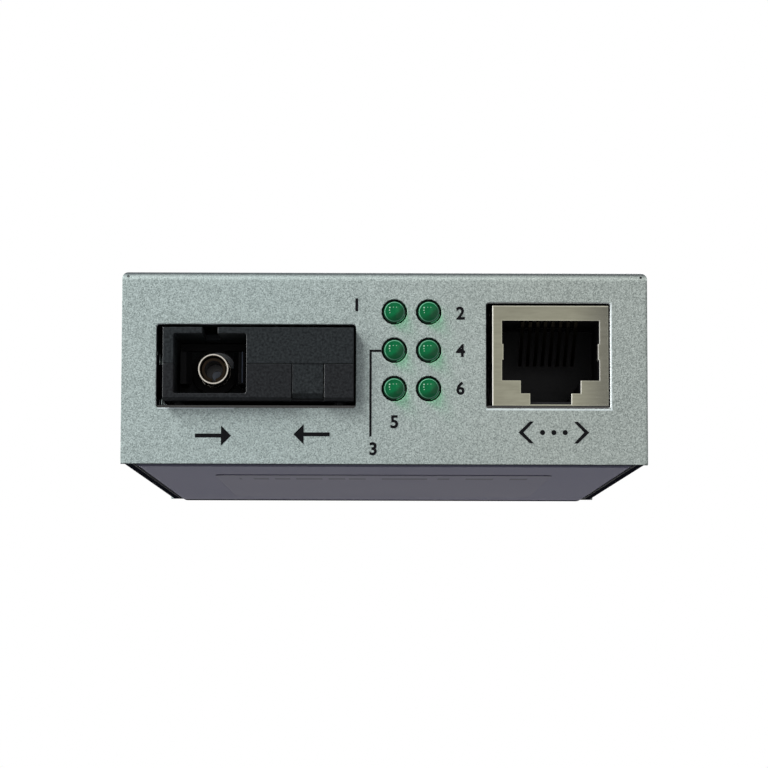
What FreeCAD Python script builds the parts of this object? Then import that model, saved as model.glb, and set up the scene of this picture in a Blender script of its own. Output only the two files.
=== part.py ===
import FreeCAD, Part
import math
import os
from FreeCAD import Vector

# Fibre media converter in a folded steel case, in millimetres.
# X runs to the right as seen from the front, Y from the front panel to the rear, Z up.
# The origin is the centre of the face that the case stands on.

# Case
case_width = 69.0            # over the side walls
case_depth = 94.0            # front face to rear face
case_height = 26.0           # base plate's underside to the top
sheet = 1.0                  # steel of cover and tray
inside_fold = 0.2            # inside radius of every fold
panel_overhang = 0.5         # end panels past the side walls
panel_corner = 0.9           # rounding of the end panels' top corners
corner_slit = 0.15           # between the end of a side wall and the panel
relief_diameter = 0.32       # round relief at the end of the panel's fold
relief_inset = 0.8           # relief's centre in from the panel's side edge
relief_drop = 0.7            # relief's centre below the top
cover_lift = 0.3             # cover's lower edges above the base plate's underside
nest_gap = 0.1               # tray inside the cover, all round
tray_wall = 5.5              # height of the tray's low walls
tab_width = 14.0             # tray's tall tabs, which take the case screws
tab_height = 17.6
tab_corner = 2.0
cutout_corner = 0.4

# Side vents, upright slots between the screw tabs
vent_width = 2.0
vent_length = 10.0
vent_pitch = 4.5
vent_count = 7
vent_centre_height = 15.0
vent_end_facets = 6

# Case screws, M3 countersunk
screw_end_offset = 25.5      # from the front and rear faces
screw_height = 13.5
screw_radius = 1.5
screw_length = 4.2
screw_head_radius = 2.5
head_gap = 0.05              # head in its countersink
thread_gap = 0.02            # screw in its tapped hole
shank_gap = 0.1              # screw through a plain hole
collar_radius = 2.6          # drawn collar round a tapped hole
collar_length = 1.2
recess_width = 0.8           # cross recess in every screw head
recess_share = 0.62          # recess length as a share of the head's width
recess_depth = 0.7

# Label on the underside
label_thickness = 0.1
label_width = 47.0
label_length = 60.0
label_front_inset = 19.0
label_corner = 1.2

# Circuit board and what holds it
board_thickness = 1.6
board_side_gap = 0.9         # to the tray's walls
board_end_gap = 0.5          # to the end panels' inner faces
board_corner = 1.0
standoff_height = 5.6
standoff_flats = 5.5
board_screw_length = 6.4
board_screw_head_radius = 2.75
board_screw_head_height = 1.8
front_screw_inset = 17.5     # front screw, behind the indicators
module_screw_gap = 6.9       # screw behind the transceiver
screw_side_gap = 5.4         # screws from the tray's walls
rear_screw_inset = 7.5
pin_hole_gap = 0.15          # round every lead that passes the board
lead_below_board = 1.2       # leads show this far under the board

# Fibre transceiver
module_width = 25.35
module_height = 9.7
module_length = 39.6
module_side_gap = 2.95       # to the tray's left wall
module_proud = 1.0           # its face past the front panel
module_stand = 0.5           # its underside above the board
module_gap_left = 0.95
module_gap_right = 0.3
module_gap_below = 0.95
module_gap_above = 0.55
shell_side = 1.1
shell_roof = 0.9
shell_floor = 1.0
shell_front = 1.2
shell_bevel = 0.35           # along the foot of the face
seam_height = 4.85           # above the transceiver's underside
seam_gap = 0.06
tongue_offset = 6.6          # upper shell's front tongue, right of the centre
tongue_width = 4.1
tongue_side_gap = 0.12
tongue_recess = 0.06
tongue_foot_gap = 0.3
tongue_bevel = 0.6            # at the tongue's foot
port_offset = 6.425          # fibre port's axis, left of the centre
port_lift = 4.9              # above the transceiver's underside
port_width = 9.7
port_height = 8.0
port_depth = 14.0
port_corner = 0.3
keyway_width = 2.07
keyway_depth = 9.0
partition = 1.2              # wall behind the port

# Latch insert in the port
insert_plate = 1.3
insert_gap = 0.1
insert_rim = 1.0             # width of the insert's frame
arm_thickness = 0.8
arm_height = 4.4
arm_reach = 6.2
arm_inset = 0.5              # arm's outer side in from the port's wall
hook_depth = 0.75
hook_length = 1.6

# Optical parts behind the port
sleeve_rim_inset = 7.0       # holder's rim behind the front panel's face
holder_radius = 2.05
holder_wall = 0.28
holder_flange_radius = 3.1
holder_flange = 1.0
split_sleeve_radius = 1.65
ferrule_bore = 1.25
sleeve_slit = 0.5
sleeve_recess = 1.2          # split sleeve behind the holder's rim
stub_length = 2.2
stub_gap = 0.01
optical_block_length = 8.5
optical_block_size = 6.0
can_radius = 2.3
can_length = 3.4
can_flange_radius = 2.8
can_flange = 1.0
can_lead_radius = 0.22
can_lead_spacing = 1.4
can_lead_length = 2.6

# Transceiver's own board and pins
module_board_thickness = 1.0
module_board_length = 9.0
module_board_lift = 1.4      # above the shell's floor
module_board_gap = 0.15
ledge_width = 0.9
driver_size = 4.0
driver_height = 0.9
pin_count = 9
pin_pitch = 2.54
pin_size = 0.5
pin_inset = 2.2              # pins' row from the shell's rear
post_radius = 0.9
post_spacing = 20.32
post_inset = 24.0            # posts' row from the shell's rear
post_seat = 0.7              # depth into the shell's floor

# Copper port
jack_width = 15.5
jack_height = 13.4
jack_depth = 21.2
jack_side_gap = 2.5          # to the tray's right wall
jack_stand = 0.05            # above the board
jack_gap_left = 0.9
jack_gap_right = 0.2
jack_gap_below = 0.5
jack_gap_above = 0.3
jack_panel_gap = 0.05        # jack's face behind the panel's inner face
shield_sheet = 0.25
shield_fit = 0.05            # housing inside the shield
spring_width = 2.1           # side ground springs
spring_lift = 6.15           # lower edge above the jack's underside
spring_bulge = 0.2
spring_inset = 1.5
spring_length = 8.0
spring_tab = 0.18            # springs' front ends into the plug window
spring_tab_length = 1.6
shield_leg_width = 1.2
shield_leg_inset = 9.0
plug_offset = 0.03           # plug space's axis right of the jack's centre
plug_width = 13.0
plug_floor = 3.35            # above the jack's underside
plug_roof = 11.4
step_width = 8.0             # latch step below the plug space
step_floor = 1.62
notch_width = 5.5            # narrower notch below the step
notch_floor = 0.6
lip_height = 0.15            # shield's strip under the notch
plug_depth = 14.5
window_margin = 0.12         # housing's mouth outside the shield's window
peg_radius = 1.55
peg_spacing = 11.43
peg_inset = 12.0
contact_count = 8
contact_pitch = 1.02
contact_width = 0.46
contact_thickness = 0.32
contact_bend = 0.5
contact_tip_inset = 2.6      # hairpin behind the jack's face
contact_drop = 5.0           # free end below the plug space's roof
contact_back = 8.0           # free end behind the hairpin
contact_slot_gap = 0.12
carrier_thickness = 1.0
carrier_above_roof = 0.75    # carrier's underside above the plug space
carrier_block = 4.0          # upright block at the rear
carrier_gap = 0.05
solder_row_pitch = 2.54

# Indicators, three rows of two
led_rows = 3
led_columns = 2
led_shift = -1.565           # block's middle from midway between the transceiver and the jack
led_column_pitch = 4.57
led_first_height = 2.17      # above the board
led_row_pitch = 5.13
led_radius = 1.5
led_dome_turn = 78           # degrees of the dome up to its small flat tip
led_dome_steps = 3
led_body = 5.3               # flange's back to the dome's tip
led_flange_radius = 1.72
led_flange = 1.0
led_proud = 1.0
led_panel_gap = 0.2
led_holder_gap = 0.06
led_lead = 0.5
led_lead_spacing = 2.54
led_first_back = 1.6         # lowest row's bend behind the flange
led_row_back = 1.9           # each higher row's bend further back
holder_margin = 1.75         # holder's edge past the outer diodes' axes
holder_panel_gap = 0.3
holder_foot = 1.2
holder_foot_length = 9.0
holder_rib = 0.9
holder_rib_top = 1.4         # rib's depth behind the plate at its top

# Power inlet at the rear
inlet_x = -15.5
inlet_width = 9.0
inlet_axis_height = 6.4      # above the board
inlet_depth = 13.8
inlet_proud = 0.4
inlet_panel_gap = 0.2
inlet_bore = 3.15
inlet_bore_depth = 9.8
inlet_pin = 1.0
inlet_shank = 0.7            # pin's end in the housing's wall
inlet_pin_recess = 0.8
inlet_mouth_lip = 0.5        # bevel round the mouth
inlet_strip = 0.4            # spring and terminals
inlet_spring_width = 2.4
inlet_spring_reach = 8.4
inlet_spring_bulge = 0.35
inlet_terminal_width = 1.6

# Parts on the board, each with its centre behind the front face
chip_offset = 13.1           # left of the line transformer
chip_inset = 35.0
chip_size = 7.0
chip_height = 1.4
chip_stand = 0.1
chip_side_legs = 8
chip_leg_pitch = 0.8
chip_leg_width = 0.37
chip_leg_reach = 1.0
leg_thickness = 0.2
magnetics_inset = 34.5
magnetics_width = 12.7
magnetics_length = 7.6
magnetics_height = 5.4
magnetics_stand = 0.15
magnetics_side_legs = 8
magnetics_leg_pitch = 1.27
magnetics_leg_width = 0.45
magnetics_leg_reach = 1.2
crystal_x = -3.0
crystal_gap = 8.1            # its middle behind the transceiver
crystal_length = 11.0
crystal_width = 4.6
crystal_height = 3.4
crystal_rim = 0.35
crystal_rim_height = 0.4
crystal_lead_pitch = 4.88
crystal_lead_radius = 0.22
capacitor_radius = 4.0
capacitor_height = 11.5
capacitor_x = 1.0
capacitor_pitch = 10.0
capacitor_rear_inset = 9.0
capacitor_bead = 0.35
capacitor_lead_radius = 0.3
capacitor_lead_pitch = 3.5
regulator_x = -1.0
regulator_rear_inset = 20.5
regulator_width = 6.5
regulator_length = 3.5
regulator_height = 1.6
regulator_tab_width = 3.0
regulator_leg_width = 0.7
regulator_leg_pitch = 2.3
coil_x = 10.0
coil_rear_inset = 21.5
coil_radius = 2.9
coil_height = 4.4
coil_flange = 0.8
coil_waist = 1.9
small_part_length = 2.0
small_part_width = 1.25
small_part_height = 0.6
small_part_pitch = 3.6
small_parts_offset = 6.2     # first column right of the coil
small_parts_rear_inset = 14.0
small_part_rows = 3
small_part_columns = 4

# Flat sides that stand for small round forms
led_sides = 16
screw_sides = 16
small_round_sides = 12
lead_hole_sides = 6

# Directions
right = Vector(1, 0, 0)
back = Vector(0, 1, 0)
up = Vector(0, 0, 1)

# Planes and levels that the pieces share
screw_cone = screw_head_radius - screw_radius
base_z = label_thickness
cover_top = base_z + case_height
cover_edge = base_z + cover_lift
fold = sheet + inside_fold
front_face = -case_depth / 2
rear_face = case_depth / 2
front_inside = front_face + sheet
rear_inside = rear_face - sheet
wall_outside = case_width / 2
wall_inside = wall_outside - sheet
tray_outside = wall_inside - nest_gap
tray_inside = tray_outside - sheet
tray_floor = base_z + sheet
board_under = tray_floor + standoff_height
board_top = board_under + board_thickness
lead_tip = board_under - lead_below_board

module_face = front_face - module_proud
module_rear = module_face + module_length
module_under = board_top + module_stand
module_top = module_under + module_height
module_left = -tray_inside + module_side_gap
module_right = module_left + module_width
module_centre_x = (module_left + module_right) / 2
module_seam = module_under + seam_height
port_x = module_centre_x - port_offset
port_z = module_under + port_lift
port_back = module_face + port_depth
chamber_front = port_back + partition
pins_y = module_rear - pin_inset
posts_y = module_rear - post_inset

jack_face = front_inside + jack_panel_gap
jack_rear = jack_face + jack_depth
jack_under = board_top + jack_stand
jack_top = jack_under + jack_height
jack_right = tray_inside - jack_side_gap
jack_left = jack_right - jack_width
jack_centre_x = (jack_left + jack_right) / 2
plug_x = jack_centre_x + plug_offset
plug_roof_z = jack_under + plug_roof
pegs_y = jack_face + peg_inset
legs_y = jack_face + shield_leg_inset
solder_y = jack_rear - carrier_block / 2 - shield_sheet

led_centre_x = (module_right + jack_left) / 2 + led_shift
led_first_x = led_centre_x - (led_columns - 1) * led_column_pitch / 2
led_spots = [
    (led_first_x + column * led_column_pitch, board_top + led_first_height + row * led_row_pitch, row)
    for row in range(led_rows)
    for column in range(led_columns)
]
led_tip = front_face - led_proud
led_back = led_tip + led_body
holder_front = front_inside + holder_panel_gap
holder_back = led_back - led_flange

inlet_face = rear_face + inlet_proud
inlet_front = inlet_face - inlet_depth
inlet_axis = board_top + inlet_axis_height

magnetics_x = jack_centre_x
chip_x = magnetics_x - chip_offset

side_screw_x = tray_inside - screw_side_gap
screw_places = [
    (led_centre_x, front_face + front_screw_inset),
    (-side_screw_x, module_rear + module_screw_gap),
    (-side_screw_x, rear_face - rear_screw_inset),
    (side_screw_x, rear_face - rear_screw_inset),
]
board_holes = []             # (x, y, radius) of every lead that passes the board


def block(x0, x1, y0, y1, z0, z1):
    return Part.makeBox(x1 - x0, y1 - y0, z1 - z0, Vector(x0, y0, z0))


def centred(x, y, z0, width, length, height):
    return block(x - width / 2, x + width / 2, y - length / 2, y + length / 2, z0, z0 + height)


def rod(start, axis, radius, length):
    return Part.makeCylinder(radius, length, start, axis)


def prism(points, travel):
    return Part.Face(Part.makePolygon(points + points[:1])).extrude(travel)


def ring(centre, axis, radius, sides):
    # corners of a regular outline round the axis
    across = up if abs(axis.z) < 0.5 else right
    other = axis.cross(across)
    turns = [2 * math.pi * (index + 0.5) / sides for index in range(sides)]
    return [
        centre + across * (radius * math.cos(turn)) + other * (radius * math.sin(turn))
        for turn in turns
    ]


def thin_rod(start, axis, radius, length, sides=8):
    # slim leads and shanks, with flat sides inside their radius
    return prism(ring(start, axis, radius, sides), axis * length)


def thin_hole(start, axis, radius, length, sides=8):
    # holes for slim leads and shanks, with flat sides outside their radius
    return thin_rod(start, axis, radius / math.cos(math.pi / sides), length, sides)


def faceted(profile, origin, axis, sides):
    # small turned form with flat sides, from (radius, height) pairs between its two ends
    rings = [ring(origin + axis * height, axis, radius, sides) for radius, height in profile]
    outlines = [rings[0], rings[-1]]
    for lower, upper in zip(rings, rings[1:]):
        for index in range(sides):
            outlines.append([lower[index - 1], lower[index], upper[index], upper[index - 1]])
    faces = [Part.Face(Part.makePolygon(outline + outline[:1])) for outline in outlines]
    solid = Part.makeSolid(Part.makeShell(faces))
    if solid.Volume < 0:
        solid.reverse()
    return solid


def join(shapes):
    return shapes[0].multiFuse(shapes[1:]).removeSplitter()


def rounded(shape, radius, axis):
    edges = [
        edge for edge in shape.Edges
        if edge.Curve.TypeId == "Part::GeomLine" and abs(edge.Curve.Direction.dot(axis)) > 0.999
    ]
    return shape.makeFillet(radius, edges)


def turned(profile, origin, axis):
    # a closed outline of (radius, height) pairs, spun round the axis
    outline = [Vector(radius, 0, height) for radius, height in profile]
    solid = Part.Face(Part.makePolygon(outline + outline[:1])).revolve(Vector(), up, 360)
    solid.Placement = FreeCAD.Placement(origin, FreeCAD.Rotation(up, axis))
    return solid


def strip(points, width, thickness):
    # bent strip whose width lies along X and whose route lies in a YZ plane, with mitred bends
    run = (points[1] - points[0]).normalize()
    across = right * (width / 2)
    over = run.cross(right) * (thickness / 2)
    start = points[0]
    corners = [start - across - over, start + across - over, start + across + over, start - across + over]
    section = Part.makePolygon(corners + corners[:1])
    return Part.makePolygon(points).makePipeShell([section], True, False, 1)


def cross_recess(head_radius, depth):
    length = 2 * head_radius * recess_share
    arms = [
        block(-length / 2, length / 2, -recess_width / 2, recess_width / 2, -depth, depth),
        block(-recess_width / 2, recess_width / 2, -length / 2, length / 2, -depth, depth),
    ]
    return join(arms)


def folded_channel(place, half_span, edge_z, fold_z, travel):
    # a U of sheet with two round folds: place(u, z) sets the plane, travel carries it
    side = 1 if fold_z > edge_z else -1
    centre_z = fold_z - side * fold
    centre_u = half_span - fold
    inner = inside_fold
    slope = math.sqrt(0.5)

    def arc(sign, radius, reverse):
        ends = [
            place(sign * (centre_u + radius), centre_z),
            place(sign * (centre_u + radius * slope), centre_z + side * radius * slope),
            place(sign * centre_u, centre_z + side * radius),
        ]
        if reverse:
            ends.reverse()
        return Part.Arc(*ends).toShape()

    def line(u0, z0, u1, z1):
        return Part.LineSegment(place(u0, z0), place(u1, z1)).toShape()

    outer_z = fold_z
    inner_z = fold_z - side * sheet
    outline = [
        line(-half_span, edge_z, -half_span, centre_z),
        arc(-1, fold, False),
        line(-centre_u, outer_z, centre_u, outer_z),
        arc(1, fold, True),
        line(half_span, centre_z, half_span, edge_z),
        line(half_span, edge_z, half_span - sheet, edge_z),
        line(half_span - sheet, edge_z, half_span - sheet, centre_z),
        arc(1, inner, False),
        line(centre_u, inner_z, -centre_u, inner_z),
        arc(-1, inner, True),
        line(-half_span + sheet, centre_z, -half_span + sheet, edge_z),
        line(-half_span + sheet, edge_z, -half_span, edge_z),
    ]
    return Part.Face(Part.Wire(outline)).extrude(travel)


def case_screw_places():
    for side in (-1, 1):
        for y in (front_face + screw_end_offset, rear_face - screw_end_offset):
            yield side, Vector(side * wall_outside, y, base_z + screw_height)


def inlet_body(grow, y0, y1):
    # flat foot and sides under a half-round top
    radius = inlet_width / 2 + grow
    foot = block(inlet_x - radius, inlet_x + radius, y0, y1, board_top - min(grow, 0), inlet_axis)
    return join([foot, rod(Vector(inlet_x, y0, inlet_axis), back, radius, y1 - y0)])


def through_board(x, y, radius):
    board_holes.append((x, y, radius + pin_hole_gap))


def top_cover():
    # top, front and rear as one channel, the side walls as the other
    side_end = case_depth / 2 - sheet - corner_slit
    flat_half = wall_outside - fold
    panel_half = wall_outside + panel_overhang
    sides = folded_channel(
        lambda u, z: Vector(u, -side_end, z),
        wall_outside, cover_edge, cover_top, back * (2 * side_end))
    ends = folded_channel(
        lambda u, z: Vector(-panel_half, u, z),
        case_depth / 2, cover_edge, cover_top, right * (2 * panel_half))
    # past the flat top the end panels go on alone, with rounded top corners
    trims = []
    for side in (-1, 1):
        x0, x1 = sorted((side * flat_half, side * (panel_half + 1)))
        trims.append(block(x0, x1, front_inside, rear_inside, cover_edge - 1, cover_top + 1))
        middle = Vector(side * (panel_half - panel_corner), front_face - 1, cover_top - panel_corner)
        x0, x1 = sorted((middle.x, side * (panel_half + 1)))
        square = block(x0, x1, front_face - 1, rear_face + 1, middle.z, cover_top + 1)
        trims.append(square.cut(rod(middle, back, panel_corner, case_depth + 2)))
    cover = join([sides, ends.cut(trims)])

    cutters = [module_cutout(), jack_cutout(), inlet_body(inlet_panel_gap, rear_inside - 1, rear_face + 1)]
    for x, z, _ in led_spots:
        cutters.append(thin_hole(
            Vector(x, front_face - 1, z), back, led_radius + led_panel_gap, sheet + 2, led_sides))
    for side in (-1, 1):
        x = side * (panel_half - relief_inset)
        for y in (front_face, rear_inside):
            start = Vector(x, y - corner_slit, cover_top - relief_drop)
            cutters.append(thin_hole(start, back, relief_diameter / 2, sheet + 2 * corner_slit))
        cutters += side_vents(side)
    widen = 1 / math.cos(math.pi / screw_sides)
    sink = [
        ((screw_head_radius + head_gap) * widen, 0),
        ((screw_radius + head_gap) * widen, -screw_cone),
    ]
    for side, place in case_screw_places():
        cutters.append(faceted(sink, place, right * side, screw_sides))
        cutters.append(thin_hole(place, right * -side, screw_radius + thread_gap, sheet + nest_gap / 2))
    return cover.cut(cutters)


def cutout(left, end, bottom, top):
    hole = block(left, end, front_face - 1, front_inside + 1, bottom, top)
    return rounded(hole, cutout_corner, back)


def module_cutout():
    return cutout(
        module_left - module_gap_left, module_right + module_gap_right,
        module_under - module_gap_below, module_top + module_gap_above)


def jack_cutout():
    return cutout(
        jack_left - jack_gap_left, jack_right + jack_gap_right,
        jack_under - jack_gap_below, jack_top + jack_gap_above)


def side_vents(side):
    # slots with rounded ends, each end a fan of short facets
    z = base_z + vent_centre_height
    radius = vent_width / 2
    reach = vent_length / 2 - radius
    x = side * (wall_inside - nest_gap / 2)
    slots = []
    for index in range(vent_count):
        y = (index - (vent_count - 1) / 2) * vent_pitch
        outline = []
        for end, first in ((reach, 0), (-reach, math.pi)):
            for step in range(vent_end_facets + 1):
                turn = first + math.pi * step / vent_end_facets
                outline.append(Vector(x, y + radius * math.cos(turn), z + end + radius * math.sin(turn)))
        slots.append(prism(outline, right * (side * (sheet + nest_gap))))
    return slots


def base_tray():
    start = front_inside + nest_gap
    length = case_depth - 2 * (sheet + nest_gap)
    tray = folded_channel(
        lambda u, z: Vector(u, start, z), tray_outside, base_z + tray_wall, base_z, back * length)
    parts = [tray]
    for side, place in case_screw_places():
        x0, x1 = sorted((side * tray_inside, side * tray_outside))
        tab = block(
            x0, x1, place.y - tab_width / 2, place.y + tab_width / 2, base_z + fold, base_z + tab_height)
        tops = [
            edge for edge in tab.Edges
            if edge.BoundBox.ZMin > base_z + tab_height - 0.01 and edge.BoundBox.XLength > sheet / 2
        ]
        parts.append(tab.makeFillet(tab_corner, tops))
        collar = Vector(side * tray_outside, place.y, place.z)
        parts.append(thin_rod(collar, right * -side, collar_radius, sheet + collar_length))
    tray = join(parts)
    holes = []
    for side, place in case_screw_places():
        start = Vector(side * (tray_outside + 1), place.y, place.z)
        holes.append(thin_hole(start, right * -side, screw_radius + thread_gap, sheet + collar_length + 2))
    return tray.cut(holes)


def base_label():
    y0 = front_face + label_front_inset
    sticker = block(-label_width / 2, label_width / 2, y0, y0 + label_length, 0, label_thickness)
    return rounded(sticker, label_corner, up)


def case_screws():
    profile = [(screw_head_radius, 0), (screw_radius, -screw_cone)]
    return Part.makeCompound([
        screw(profile, screw_length, place, right * side) for side, place in case_screw_places()
    ])


def screw(head_profile, shank, origin, axis):
    # a head with a cross recess, on a plain shank that reaches this far below the origin
    head_radius = max(radius for radius, height in head_profile)
    head_top = max(height for radius, height in head_profile)
    recess = cross_recess(head_radius, recess_depth)
    recess.translate(up * head_top)
    placement = FreeCAD.Placement(origin, FreeCAD.Rotation(up, axis))
    recess.Placement = placement.multiply(recess.Placement)
    head = faceted(head_profile, origin, axis, screw_sides)
    return join([head, thin_rod(origin, -axis, screw_radius, shank)]).cut(recess)


def board_standoffs():
    corner_radius = standoff_flats / math.sqrt(3)
    posts = []
    for x, y in screw_places:
        corners = [
            Vector(x + corner_radius * math.cos(turn), y + corner_radius * math.sin(turn), tray_floor)
            for turn in [math.radians(60 * index) for index in range(6)]
        ]
        tapped = thin_hole(Vector(x, y, tray_floor), up, screw_radius + thread_gap, standoff_height)
        posts.append(prism(corners, up * standoff_height).cut(tapped))
    return Part.makeCompound(posts)


def board_screws():
    bevel = board_screw_head_height / 3
    profile = [
        (board_screw_head_radius, 0),
        (board_screw_head_radius, board_screw_head_height - bevel),
        (board_screw_head_radius - bevel, board_screw_head_height),
    ]
    return Part.makeCompound([
        screw(profile, board_screw_length, Vector(x, y, board_top), up) for x, y in screw_places
    ])


def circuit_board():
    half = tray_inside - board_side_gap
    start = front_inside + board_end_gap
    end = rear_inside - board_end_gap
    board = rounded(block(-half, half, start, end, board_under, board_top), board_corner, up)
    holes = []
    for x, y in screw_places:
        holes.append(thin_hole(
            Vector(x, y, board_under), up, screw_radius + shank_gap, board_thickness, screw_sides))
    for x, y, radius in board_holes:
        holes.append(thin_hole(Vector(x, y, board_under), up, radius, board_thickness, lead_hole_sides))
    return board.cut(holes)


def module_pin_places():
    for index in range(pin_count):
        yield module_centre_x + (index - (pin_count - 1) / 2) * pin_pitch


def module_post_places():
    for side in (-1, 1):
        yield module_centre_x + side * post_spacing / 2


def module_shells():
    # one box with its hollows, parted at the seam into an upper and a lower half
    box = block(module_left, module_right, module_face, module_rear, module_under, module_top)
    chamber_left = module_left + shell_side
    chamber_right = module_right - shell_side
    chamber_floor = module_under + shell_floor
    chamber_roof = module_top - shell_roof
    port = block(
        port_x - port_width / 2, port_x + port_width / 2, module_face - 1, port_back,
        port_z - port_height / 2, port_z + port_height / 2)
    blank_left = port_x + port_width / 2 + shell_side
    hollows = [
        rounded(port, port_corner, back),
        block(
            port_x - keyway_width / 2, port_x + keyway_width / 2,
            module_face - 1, module_face + keyway_depth, port_z, module_top + 1),
        block(
            chamber_left, chamber_right, chamber_front, module_rear - shell_side,
            chamber_floor, chamber_roof),
        block(
            blank_left, chamber_right, module_face + shell_front + tongue_recess, chamber_front,
            chamber_floor, chamber_roof),
        rod(Vector(port_x, port_back - 1, port_z), back, holder_radius + insert_gap, partition + 2),
    ]
    shell = box.cut(hollows)
    ends = (module_face - 1, module_rear + 1)
    wide = (module_left - 1, module_right + 1)
    upper = shell.cut(block(*wide, *ends, module_under - 1, module_seam + seam_gap))
    lower = shell.cut(block(*wide, *ends, module_seam, module_top + 1))

    tongue_x = module_centre_x + tongue_offset
    tongue_left = tongue_x - tongue_width / 2
    tongue_face = module_face + tongue_recess
    foot = module_under + tongue_foot_gap
    tongue = prism([
        Vector(tongue_left, tongue_face, module_seam + shell_front),
        Vector(tongue_left, tongue_face, foot + tongue_bevel),
        Vector(tongue_left, tongue_face + tongue_bevel, foot),
        Vector(tongue_left, tongue_face + shell_front, foot),
        Vector(tongue_left, tongue_face + shell_front, module_seam + shell_front),
    ], right * tongue_width)
    notch = block(
        tongue_x - tongue_width / 2 - tongue_side_gap, tongue_x + tongue_width / 2 + tongue_side_gap,
        module_face - 1, module_face + tongue_recess + shell_front + tongue_side_gap,
        module_under - 1, module_seam + 1)
    upper = join([upper, tongue])
    past = 0.5
    bevel = prism([
        Vector(module_left - 1, module_face - past, module_under - past),
        Vector(module_left - 1, module_face - past, module_under + shell_bevel + past),
        Vector(module_left - 1, module_face + shell_bevel + past, module_under - past),
    ], right * (module_width + 2))
    lower = lower.cut([notch, bevel])

    board_seat = chamber_floor + module_board_lift
    board_front = module_rear - shell_side - module_board_gap - module_board_length
    ledges = [
        block(x, x + ledge_width, board_front, module_rear - shell_side, chamber_floor, board_seat)
        for x in (chamber_left, chamber_right - ledge_width)
    ]
    feet = [
        thin_rod(Vector(x, y, board_top), up, post_radius, module_stand)
        for x in (module_left + 2 * post_radius, module_right - 2 * post_radius)
        for y in (front_inside + board_end_gap + 2 * post_radius, module_rear - 2 * post_radius)
    ]
    lower = join([lower] + ledges + feet)
    slot_half = (pin_count - 1) * pin_pitch / 2 + pin_size
    cuts = [
        block(
            module_centre_x - slot_half, module_centre_x + slot_half,
            pins_y - pin_size, pins_y + pin_size, module_under - 1, board_seat + module_board_thickness)
    ]
    for x in module_post_places():
        start = Vector(x, posts_y, module_under - 1)
        cuts.append(thin_hole(start, up, post_radius + thread_gap, 1 + post_seat))
    return upper, lower.cut(cuts)


def latch_insert():
    # frame against the port's back wall with a springy hooked arm each side of the ferrule
    half_width = port_width / 2 - insert_gap
    half_height = port_height / 2 - insert_gap
    plate_front = port_back - insert_plate
    plate = block(
        port_x - half_width, port_x + half_width, plate_front, port_back,
        port_z - half_height, port_z + half_height)
    window_x = half_width - insert_rim
    window_z = half_height - insert_rim
    passage_radius = holder_radius + insert_gap
    hub = rod(Vector(port_x, plate_front, port_z), back, passage_radius + insert_rim, insert_plate)
    windows = block(
        port_x - window_x, port_x + window_x, plate_front, port_back,
        port_z - window_z, port_z + window_z)
    bridge = block(
        port_x - half_width, port_x + half_width, plate_front, port_back,
        port_z - insert_rim / 2, port_z + insert_rim / 2)
    frame = join([plate.cut(windows), hub, bridge])
    arms = []
    for side in (-1, 1):
        outer = port_x + side * (port_width / 2 - arm_inset)
        inner = outer - side * arm_thickness
        hook = inner - side * hook_depth
        tip = plate_front - arm_reach
        outline = [
            Vector(outer, plate_front, port_z - arm_height / 2),
            Vector(outer, tip, port_z - arm_height / 2),
            Vector(inner, tip, port_z - arm_height / 2),
            Vector(hook, tip + hook_length * 0.7, port_z - arm_height / 2),
            Vector(hook, tip + hook_length, port_z - arm_height / 2),
            Vector(inner, tip + hook_length, port_z - arm_height / 2),
            Vector(inner, plate_front, port_z - arm_height / 2),
        ]
        arms.append(prism(outline, up * arm_height))
    passage = rod(Vector(port_x, plate_front - 1, port_z), back, passage_radius, insert_plate + 2)
    return join([frame] + arms).cut(passage)


def sleeve_holder():
    rim = front_face + sleeve_rim_inset
    inner = holder_radius - holder_wall
    flange_start = chamber_front - rim
    flange_end = flange_start + holder_flange
    profile = [
        (inner, 0), (holder_radius, 0), (holder_radius, flange_start),
        (holder_flange_radius, flange_start), (holder_flange_radius, flange_end), (inner, flange_end),
    ]
    return turned(profile, Vector(port_x, rim, port_z), back)


def split_sleeve():
    start = front_face + sleeve_rim_inset + sleeve_recess
    length = chamber_front + holder_flange - start
    tube = rod(Vector(port_x, start, port_z), back, split_sleeve_radius, length)
    bore = rod(Vector(port_x, start, port_z), back, ferrule_bore, length)
    slit = block(
        port_x - sleeve_slit / 2, port_x + sleeve_slit / 2, start, start + length,
        port_z - 2 * split_sleeve_radius, port_z)
    return tube.cut([bore, slit])


def fibre_stub():
    end = chamber_front + holder_flange
    return rod(Vector(port_x, end - stub_length, port_z), back, ferrule_bore - stub_gap, stub_length)


def optical_block():
    start = chamber_front + holder_flange
    body = centred(
        port_x, start + optical_block_length / 2, port_z - optical_block_size / 2,
        optical_block_size, optical_block_length, optical_block_size)
    return body.makeChamfer(optical_block_size / 8, [
        edge for edge in body.Edges if edge.BoundBox.YLength > optical_block_length / 2
    ])


def diode_can(origin, axis):
    profile = [
        (can_flange_radius, 0), (can_flange_radius, can_flange), (can_radius, can_flange),
        (can_radius, can_flange + can_length),
    ]
    can = faceted(profile, origin, axis, small_round_sides)
    across = axis.cross(up)
    end = origin + axis * (can_flange + can_length)
    leads = [
        thin_rod(end + (across * (side * can_lead_spacing / 2)), axis, can_lead_radius, can_lead_length)
        for side in (-1, 1)
    ]
    return join([can] + leads)


def laser_can():
    return diode_can(Vector(port_x, chamber_front + holder_flange + optical_block_length, port_z), back)


def detector_can():
    y = chamber_front + holder_flange + optical_block_length / 2
    return diode_can(Vector(port_x + optical_block_size / 2, y, port_z), right)


def module_board_seat():
    return module_under + shell_floor + module_board_lift


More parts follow.
